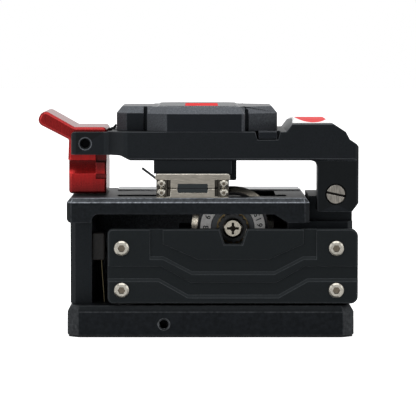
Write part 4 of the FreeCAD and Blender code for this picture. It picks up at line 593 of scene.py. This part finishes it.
def grown(name, node, body, tree, points, sizes, finish, smooth=24.0):
    """Plain mesh grown by a geometry tree on points, in millimetres, riding a body for its node."""
    host_mesh = bpy.data.meshes.new(name + "_points")
    host_mesh.from_pydata([[c * MM for c in p] for p in points], [], [])
    host = bpy.data.objects.new(name + "_host", host_mesh)
    bpy.context.scene.collection.objects.link(host)
    grow = host.modifiers.new("grow", "NODES")
    grow.node_group = tree
    names = {item.name: item.identifier for item in tree.interface.items_tree if item.in_out == "INPUT"}
    for label, value in sizes.items():
        grow[names[label]] = value
    grow[names["Finish"]] = finish
    graph = bpy.context.evaluated_depsgraph_get()
    mesh = bpy.data.meshes.new_from_object(host.evaluated_get(graph), depsgraph=graph)
    bpy.data.objects.remove(host)
    mesh.name = name
    mesh.shade_smooth()
    mesh.set_sharp_from_angle(angle=math.radians(smooth))
    piece = bpy.data.objects.new(name, mesh)
    bpy.context.scene.collection.objects.link(piece)
    if body is not None:
        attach(piece, body)
        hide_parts(node)
    return piece


def box_mm(node):
    """The node's lowest and highest corner in millimetres."""
    low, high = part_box(node)
    return Vector(low) / MM, Vector(high) / MM


# Its recess colour is the painted shade inside the screws' sockets.
screw_nickel = grained("screw_nickel", (0.40, 0.38, 0.335), (0.7, 0.68, 0.62), 0.22, 0.16, 1.0, 0.5,
                       scale=2500.0, tone=0.15, bump=0.15, recess=(0.13, 0.11, 0.085))
screw_low, screw_high = box_mm("side_plate_screws")
plate_screw_radius = 1.8
plate_screw_height = 1.2
plate_screw_back = screw_low.y + plate_screw_height
plate_screw_places = [(x, plate_screw_back, z)
                      for x in (screw_low.x + plate_screw_radius, screw_high.x - plate_screw_radius)
                      for z in (screw_low.z + plate_screw_radius, screw_high.z - plate_screw_radius)]
grown("side_plate_screw_heads", "side_plate_screws", "carriage", socket_screw, plate_screw_places,
      {"Head Radius": plate_screw_radius * MM, "Head Height": plate_screw_height * MM, "Rim Chamfer": 0.38 * MM,
       "Socket Radius": 0.98 * MM, "Socket Depth": 0.7 * MM, "Turn": (math.pi / 2, 0, 0)}, screw_nickel)
stud_swell = 0.11
stud_shape = {"Rim Chamfer": 0.42 * MM, "Socket Radius": 0.45 * MM, "Socket Depth": 0.4 * MM}
for side, body, node in (("near", "near_clamp", "upper_studs_near"), ("far", "far_clamp", "upper_studs_far")):
    stud_low, stud_high = box_mm(node)
    stud_radius = (stud_high.z - stud_low.z) / 2
    stud_z = (stud_high.z + stud_low.z) / 2
    facing = 1 if side == "near" else -1
    stud_back = stud_high.y if side == "near" else stud_low.y
    places = [(x, stud_back, stud_z) for x in (stud_low.x + stud_radius, stud_high.x - stud_radius)]
    grown(node + "_heads", node, body, socket_screw, places,
          {**stud_shape, "Head Radius": (stud_radius + stud_swell) * MM,
           "Head Height": (stud_high.y - stud_low.y) * MM, "Turn": (facing * math.pi / 2, 0, 0)}, screw_nickel)
stud_low, stud_high = box_mm("lower_clamp_studs")
stud_radius = (stud_high.z - stud_low.z) / 2
stud_z = (stud_high.z + stud_low.z) / 2
stud_depth = 0.65
stud_sizes = {**stud_shape, "Head Radius": (stud_radius + stud_swell) * MM, "Head Height": stud_depth * MM}
stud_columns = (stud_low.x + stud_radius, stud_high.x - stud_radius)
near_studs = grown("lower_stud_heads_near", "lower_clamp_studs", None, socket_screw,
                   [(x, stud_low.y + stud_depth, stud_z) for x in stud_columns],
                   {**stud_sizes, "Turn": (math.pi / 2, 0, 0)}, screw_nickel)
far_studs = grown("lower_stud_heads_far", "lower_clamp_studs", None, socket_screw,
                  [(x, stud_high.y - stud_depth, stud_z) for x in stud_columns],
                  {**stud_sizes, "Turn": (-math.pi / 2, 0, 0)}, screw_nickel)
for piece in (near_studs, far_studs):
    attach(piece, "base")
    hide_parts("lower_clamp_studs")

# ==================================================================== blade and its number ring
# A round hard metal blade with a polished bevel, and a pale ring printed with its sixteen positions.
# A notched hub and a cross-head screw clamp it, with a brass washer between hub and flange.

blade_metal = grained("blade_metal", (0.035, 0.035, 0.037), (0.60, 0.55, 0.46), 0.3, 0.16, 1.0, 0.5,
                      scale=3000.0, tone=0.25)
disc_low, disc_high = box_mm("blade_disc")
blade_x = (disc_low.x + disc_high.x) / 2
blade_z = (disc_low.z + disc_high.z) / 2
blade_rim = (disc_high.x - disc_low.x) / 2
blade_bore = 1.53
bevel_start = 8.75
blade_land = 0.05
blade_profile = ((blade_bore, disc_low.y), (bevel_start, disc_low.y), (blade_rim, disc_high.y - blade_land),
                 (blade_rim - blade_land, disc_high.y), (blade_bore, disc_high.y))
blade_steps = 120
blade_mesh = bpy.data.meshes.new("blade_ground")
blade_work = bmesh.new()
rings = []
for step in range(blade_steps):
    angle = 2 * math.pi * step / blade_steps
    across, up = math.cos(angle), math.sin(angle)
    rings.append([blade_work.verts.new(Vector((blade_x + r * across, y, blade_z + r * up)) * MM)
                  for r, y in blade_profile])
edge_mark = blade_work.faces.layers.float.new("edge")
for step in range(blade_steps):
    ring, after = rings[step], rings[(step + 1) % blade_steps]
    for index in range(len(blade_profile)):
        other = (index + 1) % len(blade_profile)
        face = blade_work.faces.new((ring[index], ring[other], after[other], after[index]))
        face[edge_mark] = 1.0 if index == 1 else 0.0
bmesh.ops.recalc_face_normals(blade_work, faces=blade_work.faces)
blade_work.to_mesh(blade_mesh)
blade_work.free()
blade_mesh.materials.append(blade_metal)
blade_mesh.shade_smooth()
blade_mesh.set_sharp_from_angle(angle=math.radians(12))
blade_ground = bpy.data.objects.new("blade_ground", blade_mesh)
bpy.context.scene.collection.objects.link(blade_ground)
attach(blade_ground, "blade")
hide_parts("blade_disc")
ring_alu = grained("ring_alu", (0.70, 0.69, 0.68), (0.85, 0.85, 0.85), 0.45, 0.4, 0.1, 0.5, scale=3500.0,
                   tone=0.12)
chamfered("number_ring", "blade", ring_alu, 0.06)
hub_steel = grained("hub_steel", (0.075, 0.082, 0.09), (0.10, 0.10, 0.10), 0.4, 0.3, 0.3, 0.4,
                    recess=(0.004, 0.004, 0.004))


def hub_marks(centre, normal):
    """The notched wheel in front of the flange is blackened."""
    flange_front = -13.0
    return 0.0, (0.8 if centre.y < flange_front else 0.0)


chamfered("blade_hub", "blade", hub_steel, 0.08, marks=hub_marks)
hub_brass = grained("hub_brass", (0.16, 0.12, 0.06), (0.4, 0.3, 0.15), 0.3, 0.25, 1.0, 0.5)
chamfered("blade_washer", "blade", hub_brass, 0.05)
chamfered("blade_nut", "blade", screw_nickel, 0.12)
chamfered("blade_bush", "carriage", hub_brass, 0.06)
leaf_steel = grained("leaf_steel", (0.4, 0.4, 0.4), (0.5, 0.5, 0.5), 0.25, 0.2, 1.0, 0.5)
chamfered("index_leaf", "carriage", leaf_steel, 0.04)


def cross_marks(centre, normal):
    """The walls and the floor of the cross recess carry painted shade."""
    head_face, head_back, reach = -16.3, -15.0, 1.7
    inside = math.hypot(centre.x - blade_x, centre.z - blade_z) < reach
    return 0.0, (1.0 if inside and head_face + 0.05 < centre.y < head_back else 0.0)


blade_steel = grained("blade_steel", (0.42, 0.39, 0.33), (0.6, 0.57, 0.5), 0.26, 0.2, 1.0, 0.5, tone=0.2,
                      recess=(0.012, 0.010, 0.008))
screw_low, screw_high = box_mm("blade_screw")
cross_half = 1.55
cross_arm = 0.34
cross_web = 0.72
cross_floor = 0.6
cross_outline = []
for quarter in range(4):
    for u, v in ((cross_half, -cross_arm), (cross_half, cross_arm), (cross_web, cross_arm),
                 (cross_arm, cross_web)):
        c, d = math.cos(quarter * math.pi / 2), math.sin(quarter * math.pi / 2)
        cross_outline.append((u * c - v * d, u * d + v * c))
cross_mesh = bpy.data.meshes.new("cross_cutter")
cross_work = bmesh.new()
# The cutter's faces are marked recess, so the cross that it cuts carries painted shade.
hollow_mark = cross_work.faces.layers.float.new("recess")
layers = []
for y, scale in ((screw_low.y - 0.5, 1.0), (screw_low.y + cross_floor, 0.82)):
    layers.append([cross_work.verts.new(Vector((blade_x + u * scale, y, blade_z + v * scale)) * MM)
                   for u, v in cross_outline])
cross_work.faces.new(layers[0])
cross_work.faces.new(layers[1])
for index in range(len(cross_outline)):
    other = (index + 1) % len(cross_outline)
    cross_work.faces.new((layers[0][index], layers[0][other], layers[1][other], layers[1][index]))
for face in cross_work.faces:
    face[hollow_mark] = 1.0
bmesh.ops.recalc_face_normals(cross_work, faces=cross_work.faces)
cross_work.to_mesh(cross_mesh)
cross_work.free()
cross_cutter = bpy.data.objects.new("cross_cutter", cross_mesh)
bpy.context.scene.collection.objects.link(cross_cutter)
head_swell = 0.14
head_under = -14.9
head_inner = 1.8


def swollen_head(vertex):
    """Outward shift of the head's rim, which stands a little proud of the hub."""
    place = vertex.co / MM
    out = Vector((place.x - blade_x, 0, place.z - blade_z))
    return out.normalized() * head_swell if place.y < head_under and out.length > head_inner else Vector()


chamfered("blade_screw", "blade", blade_steel, 0.08, marks=cross_marks, cutter=cross_cutter,
          adjust=swollen_head)

ring_low, ring_high = box_mm("number_ring")
ring_x = (ring_low.x + ring_high.x) / 2
ring_z = (ring_low.z + ring_high.z) / 2
ring_digit_radius = 6.75
ring_digit_size = 1.9
ring_position_step = 22.5
ring_nine_angle = 157.5
digit_thickness = 0.01
digit_swell = 0.03
digit_lift = 0.012
digit_ink = grained("digit_ink", (0.006, 0.006, 0.006), (0.006, 0.006, 0.006), 0.6, 0.6, 0.0, 0.3)
numbers = bmesh.new()
for number in range(1, 17):
    lettering = bpy.data.curves.new("ring_digit", "FONT")
    lettering.body = str(number)
    lettering.size = ring_digit_size * MM
    lettering.align_x = "CENTER"
    lettering.align_y = "CENTER"
    lettering.space_character = 1.25
    lettering.extrude = digit_thickness * MM
    lettering.offset = digit_swell * MM
    lettering.resolution_u = 4
    holder = bpy.data.objects.new("ring_digit", lettering)
    bpy.context.scene.collection.objects.link(holder)
    graph = bpy.context.evaluated_depsgraph_get()
    flat = bpy.data.meshes.new_from_object(holder.evaluated_get(graph), depsgraph=graph)
    bpy.data.objects.remove(holder)
    angle = math.radians(ring_nine_angle - (number - 9) * ring_position_step)
    turn = angle + math.pi / 2
    u_axis = Vector((math.cos(turn), 0, math.sin(turn)))
    v_axis = Vector((-math.sin(turn), 0, math.cos(turn)))
    centre = Vector((ring_x + ring_digit_radius * math.cos(angle), ring_low.y - digit_lift,
                     ring_z + ring_digit_radius * math.sin(angle))) * MM
    for vertex in flat.vertices:
        u, v, w = vertex.co
        vertex.co = centre + u_axis * u + v_axis * v + Vector((0, -w, 0))
    numbers.from_mesh(flat)
    bpy.data.meshes.remove(flat)
number_mesh = bpy.data.meshes.new("ring_numbers")
bmesh.ops.remove_doubles(numbers, verts=numbers.verts, dist=1e-7)
numbers.to_mesh(number_mesh)
numbers.free()
number_mesh.materials.append(digit_ink)
ring_numbers = bpy.data.objects.new("ring_numbers", number_mesh)
bpy.context.scene.collection.objects.link(ring_numbers)
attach(ring_numbers, "blade")

# ==================================================================== arm and hinge
# The arm is one milled bar with a fork at the front, a crowned hump over the hinge and two legs. It
# turns on a slotted steel pin with round heads let into the legs, in two brass bushes.


hinge_axis = (30.6, 34.7)
lever_axis = (-30.8, 46.9)


def near_axis(centre, axis, reach):
    """Whether a point lies within a reach of an axis along Y, given by its X and Z."""
    return math.hypot(centre.x - axis[0], centre.z - axis[1]) < reach


def arm_marks(centre, normal):
    """The slopes of the hump carry a painted reflection; the hinge recess and the lever pin's holes carry
    painted shade.
    """
    hump_foot, side_y = 49.5, 20.4
    on_slope = 0.3 < normal.z < 0.97 and centre.z > hump_foot
    in_hole = near_axis(centre, hinge_axis, 2.8) or near_axis(centre, lever_axis, 1.2)
    return (0.6 if on_slope else 0.0), (1.0 if in_hole and abs(centre.y) < side_y else 0.0)


def arm_wear(centre, normal):
    """Pin holes and the hinge recess have bright rims, a painted highlight; the long edges are only a little
    paler.
    """
    return 1.0 if near_axis(centre, lever_axis, 2.0) or near_axis(centre, hinge_axis, 2.8) else 0.35


chamfered("arm_frame", "arm", black_anodise, 0.15, angle=45.0, marks=arm_marks, clamp=False,
          chamfer_wear_and_highlight=arm_wear)
hinge_steel = grained("hinge_steel", (0.24, 0.225, 0.20), (0.45, 0.43, 0.39), 0.3, 0.25, 1.0, 0.5,
                      stretch=(1, 1, 0.15), scale=3500.0, tone=0.35, recess=(0.01, 0.009, 0.008))


def slot_marks(centre, normal):
    """The driver slot's walls and floor carry painted shade."""
    slot_floor, head_face = 19.0, 20.15
    in_slot = slot_floor < abs(centre.y) < head_face and near_axis(centre, hinge_axis, 2.2)
    return 0.0, (1.0 if in_slot else 0.0)


chamfered("hinge_pin", "arm", hinge_steel, 0.06, marks=slot_marks)
chamfered("hinge_bushes", "base", hub_brass, 0.06)

# ==================================================================== badge plate
# A bare pale plate that follows the hump's crown, with one plain red field and no lettering. It is
# a lacquered pressing, glued in its recess.

field_x = 25.2
field_half_length = 4.1
field_half_width = 17.0
badge_lacquer, badge_tree, badge_shader = node_material("badge_lacquer")
badge_place = badge_tree.nodes.new("ShaderNodeTexCoord")
badge_centre = badge_tree.nodes.new("ShaderNodeVectorMath")
badge_centre.operation = "SUBTRACT"
badge_centre.inputs[1].default_value = (field_x * MM, 0.0, 0.0)
badge_scale = badge_tree.nodes.new("ShaderNodeVectorMath")
badge_scale.operation = "MULTIPLY"
badge_scale.inputs[1].default_value = (1 / (field_half_length * MM), 1 / (field_half_width * MM), 0.0)
badge_reach = badge_tree.nodes.new("ShaderNodeVectorMath")
badge_reach.operation = "LENGTH"
badge_inside = badge_tree.nodes.new("ShaderNodeMath")
badge_inside.operation = "LESS_THAN"
badge_inside.inputs[1].default_value = 1.0
badge_colour = badge_tree.nodes.new("ShaderNodeMix")
badge_colour.data_type = "RGBA"
badge_colour.inputs["A"].default_value = (0.78, 0.78, 0.78, 1)
badge_colour.inputs["B"].default_value = (0.60, 0.008, 0.010, 1)
badge_tree.links.new(badge_place.outputs["Object"], badge_centre.inputs[0])
badge_tree.links.new(badge_centre.outputs["Vector"], badge_scale.inputs[0])
badge_tree.links.new(badge_scale.outputs["Vector"], badge_reach.inputs[0])
badge_tree.links.new(badge_reach.outputs["Value"], badge_inside.inputs[0])
badge_tree.links.new(badge_inside.outputs["Value"], badge_colour.inputs["Factor"])
badge_tree.links.new(badge_colour.outputs["Result"], badge_shader.inputs["Base Color"])
badge_shader.inputs["Roughness"].default_value = 0.35
badge_shader.inputs["Specular IOR Level"].default_value = 0.02
chamfered("badge_plate", "arm", badge_lacquer, 0.05)

# ==================================================================== thumb pad
# A moulded pad of fine matte plastic, hollow at its four grooves, clipped and screwed to the arm. A
# plain red inlay is set in its crown.

pad_plastic = grained("pad_plastic", (0.0042, 0.0047, 0.0062), (0.115, 0.122, 0.135), 0.36, 0.2, 0.0, 0.16,
                      scale=3500.0, tone=0.25, bump=0.25)
inlay_red = grained("inlay_red", (0.60, 0.018, 0.02), (0.6, 0.03, 0.03), 0.6, 0.6, 0.0, 0.02, tone=0.05)


def pad_marks(centre, normal):
    """The sloping faces round the crown carry a painted reflection, and the crown and the side facets a weaker
    one.
    """
    if 0.25 < normal.z < 0.93:
        return 0.7, 0.0
    if normal.z >= 0.93:
        return 0.3, 0.0
    return (0.3 if abs(normal.x) > 0.25 and abs(normal.z) < 0.3 else 0.0), 0.0


def pad_wear(centre, normal):
    """The pad's moulded edges carry a painted highlight, lighter towards the crown."""
    crown_z = 54.0
    return 0.8 if centre.z > crown_z else 0.25


chamfered("thumb_pad", "arm", pad_plastic, 0.14, marks=pad_marks, chamfer_wear_and_highlight=pad_wear)
chamfered("pad_inlay", "arm", inlay_red, 0.05)
chamfered("pad_screws", "arm", dark_steel, 0.15)

# ==================================================================== moving clamps
# Each upper jaw hangs from a black holder that floats on two pins and springs in the arm. The near
# jaw carries a short blackened wire that flips the fibre's end.

black_wire = grained("black_wire", (0.008, 0.008, 0.008), (0.01, 0.01, 0.01), 0.45, 0.45, 0.0, 0.3)
for side in ("near", "far"):
    body = side + "_clamp"
    chamfered("clamp_holder_" + side, body, black_anodise, 0.12)
    chamfered("upper_clamp_" + side, body, clamp_steel, 0.07, marks=clamp_marks)
    chamfered("upper_pad_" + side, body, pad_rubber, 0.04)
wire_swell = 0.07
chamfered("clamp_wire", "near_clamp", black_wire, 0.0,
          adjust=lambda vertex: vertex.normal * wire_swell)
chamfered("clamp_guide_pins", "arm", dark_steel, 0.06)

# ==================================================================== anvil
# A narrow black lever between the two holders that bends the fibre over the blade with its small
# steel tip. It turns on a short pin in the arm.

chamfered("anvil_arm", "anvil", black_anodise, 0.15)
chamfered("anvil_tip", "anvil", clamp_steel, 0.08)
chamfered("anvil_pin", "arm", dark_steel, 0.06)

# ==================================================================== latch lever
# Milled aluminium, polished and anodised red, with a finger tab, a lip under the fork and a hollow
# on each side. It turns on a dark pin in the fork and holds to the magnet with a steel keeper.

red_anodise = grained("red_anodise", (0.27, 0.005, 0.005), (0.50, 0.03, 0.03), 0.24, 0.16, 0.7, 0.5,
                      stretch=(1, 1, 0.12), scale=2500.0, tone=0.14, bump=0.1, recess=(0.06, 0.002, 0.002))
# Painted light and shade on the lever: the colour's strength by height, in millimetres and shares of the full
# red.
lever_painted_light = ((34.5, 0.40), (37.3, 0.85), (39.3, 1.25), (39.8, 1.3), (40.8, 0.75), (42.6, 0.35),
                (42.9, 1.15), (43.4, 1.0), (46.5, 1.0), (49.0, 0.72), (54.0, 0.80))
shade_low, shade_high = lever_painted_light[0][0], lever_painted_light[-1][0]
red_tree = red_anodise.node_tree
red_shader = next(n for n in red_tree.nodes if n.bl_idname == "ShaderNodeBsdfPrincipled")
red_place = red_tree.nodes.new("ShaderNodeTexCoord")
red_axes = red_tree.nodes.new("ShaderNodeSeparateXYZ")
red_height = red_tree.nodes.new("ShaderNodeMapRange")
red_height.inputs["From Min"].default_value = shade_low * MM
red_height.inputs["From Max"].default_value = shade_high * MM
red_ramp = red_tree.nodes.new("ShaderNodeValToRGB")
for index, (height, value) in enumerate(lever_painted_light):
    at = (height - shade_low) / (shade_high - shade_low)
    stop = red_ramp.color_ramp.elements[index] if index < 2 else red_ramp.color_ramp.elements.new(at)
    stop.position = at
    stop.color = (value, value, value, 1)
red_shaded = red_tree.nodes.new("ShaderNodeMix")
red_shaded.data_type = "RGBA"
red_shaded.blend_type = "MULTIPLY"
red_shaded.inputs["Factor"].default_value = 1.0
red_tree.links.new(red_place.outputs["Object"], red_axes.inputs["Vector"])
red_tree.links.new(red_axes.outputs["Z"], red_height.inputs["Value"])
red_tree.links.new(red_height.outputs["Result"], red_ramp.inputs["Fac"])
red_tree.links.new(red_shader.inputs["Base Color"].links[0].from_socket, red_shaded.inputs["A"])
red_tree.links.new(red_ramp.outputs["Color"], red_shaded.inputs["B"])
red_tree.links.new(red_shaded.outputs["Result"], red_shader.inputs["Base Color"])


def lever_marks(centre, normal):
    """The right side of the column carries painted shade, and its two cuts darker painted shade still."""
    column_x, column_top = -28.4, 44.3
    if centre.x <= column_x or centre.z >= column_top:
        return 0.0, 0.0
    if centre.z > 41.9:
        return 0.0, 0.95
    return 0.0, (0.8 if 38.1 < centre.z < 39.4 else 0.35)


chamfered("lever", "lever", red_anodise, 0.12, marks=lever_marks)
chamfered("latch_keeper", "lever", rail_steel, 0.1)
pin_black = grained("pin_black", (0.001, 0.001, 0.001), (0.002, 0.002, 0.002), 0.7, 0.7, 0.0, 0.05)
chamfered("lever_pin", "arm", pin_black, 0.1)
chamfered("lever_leaf", "arm", black_wire, 0.05)

# ==================================================================== coil springs
# Drawn spring wire, grown as coils with their own turns and radii. The carriage's and the lever's
# springs stretch between the two bodies that they push apart.


def coil_tree():
    """Coil of round wire that rises along +Z from the origin."""
    tree = bpy.data.node_groups.new("coil", "GeometryNodeTree")
    tree_socket(tree, "Geometry", "NodeSocketGeometry")
    for label, value in (("Coil Radius", 1.0 * MM), ("Wire Radius", 0.2 * MM), ("Length", 5.0 * MM),
                         ("Turns", 5.0)):
        tree_socket(tree, label, "NodeSocketFloat", value)
    tree_socket(tree, "Turn", "NodeSocketVector", (0, 0, 0))
    tree_socket(tree, "Finish", "NodeSocketMaterial")
    given = tree.nodes.new("NodeGroupInput")
    path = tree.nodes.new("GeometryNodeCurveSpiral")
    path.inputs["Resolution"].default_value = 24
    tree.links.new(given.outputs["Turns"], path.inputs["Rotations"])
    tree.links.new(given.outputs["Coil Radius"], path.inputs["Start Radius"])
    tree.links.new(given.outputs["Coil Radius"], path.inputs["End Radius"])
    tree.links.new(given.outputs["Length"], path.inputs["Height"])
    section = tree.nodes.new("GeometryNodeCurvePrimitiveCircle")
    section.inputs["Resolution"].default_value = 10
    tree.links.new(given.outputs["Wire Radius"], section.inputs["Radius"])
    wire = tree.nodes.new("GeometryNodeCurveToMesh")
    tree.links.new(path.outputs["Curve"], wire.inputs["Curve"])
    tree.links.new(section.outputs["Curve"], wire.inputs["Profile Curve"])
    wire.inputs["Fill Caps"].default_value = True
    placed_on_points(tree, given, wire.outputs["Mesh"])
    return tree


coil = coil_tree()
spring_wire = grained("spring_wire", (0.45, 0.45, 0.45), (0.5, 0.5, 0.5), 0.25, 0.25, 1.0, 0.5)


def coiled(node, axis, wire_radius, turns, places=1):
    """Points, direction and sizes of a spring from its node's box, as a grown coil."""
    low, high = box_mm(node)
    width = {"x": high.z - low.z, "y": high.z - low.z, "z": high.y - low.y}[axis]
    radius = width / 2 - wire_radius
    middle = (low + high) / 2
    start = {"x": (low.x + wire_radius, middle.y, middle.z), "y": (middle.x, low.y + wire_radius, middle.z),
             "z": (middle.x, middle.y, low.z + wire_radius)}[axis]
    length = {"x": high.x - low.x, "y": high.y - low.y, "z": high.z - low.z}[axis] - 2 * wire_radius
    turn = {"x": (0, math.pi / 2, 0), "y": (-math.pi / 2, 0, 0), "z": (0, 0, 0)}[axis]
    points = [start]
    if places == 2:
        points = [(low.x + width / 2, middle.y, start[2]), (high.x - width / 2, middle.y, start[2])]
    sizes = {"Coil Radius": radius * MM, "Wire Radius": wire_radius * MM, "Length": length * MM,
             "Turns": turns, "Turn": turn}
    return points, sizes


for node, body, axis, wire_radius, turns, places in (
        ("hinge_spring", "base", "y", 0.3, 3.0, 1), ("clamp_springs_near", None, "z", 0.15, 3.0, 2),
        ("clamp_springs_far", None, "z", 0.15, 3.0, 2), ("carriage_spring", None, "x", 0.25, 12.0, 1),
        ("lever_spring", None, "x", 0.15, 9.0, 1)):
    points, sizes = coiled(node, axis, wire_radius, turns, places)
    piece = grown(node + "_coil", node, body, coil, points, sizes, spring_wire, smooth=60.0)
    if body is None:
        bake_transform(piece)
        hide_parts(node)

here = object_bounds()
sizes = {"cad": [list(corner) for corner in cad_box], "visual": [list(corner) for corner in here]}
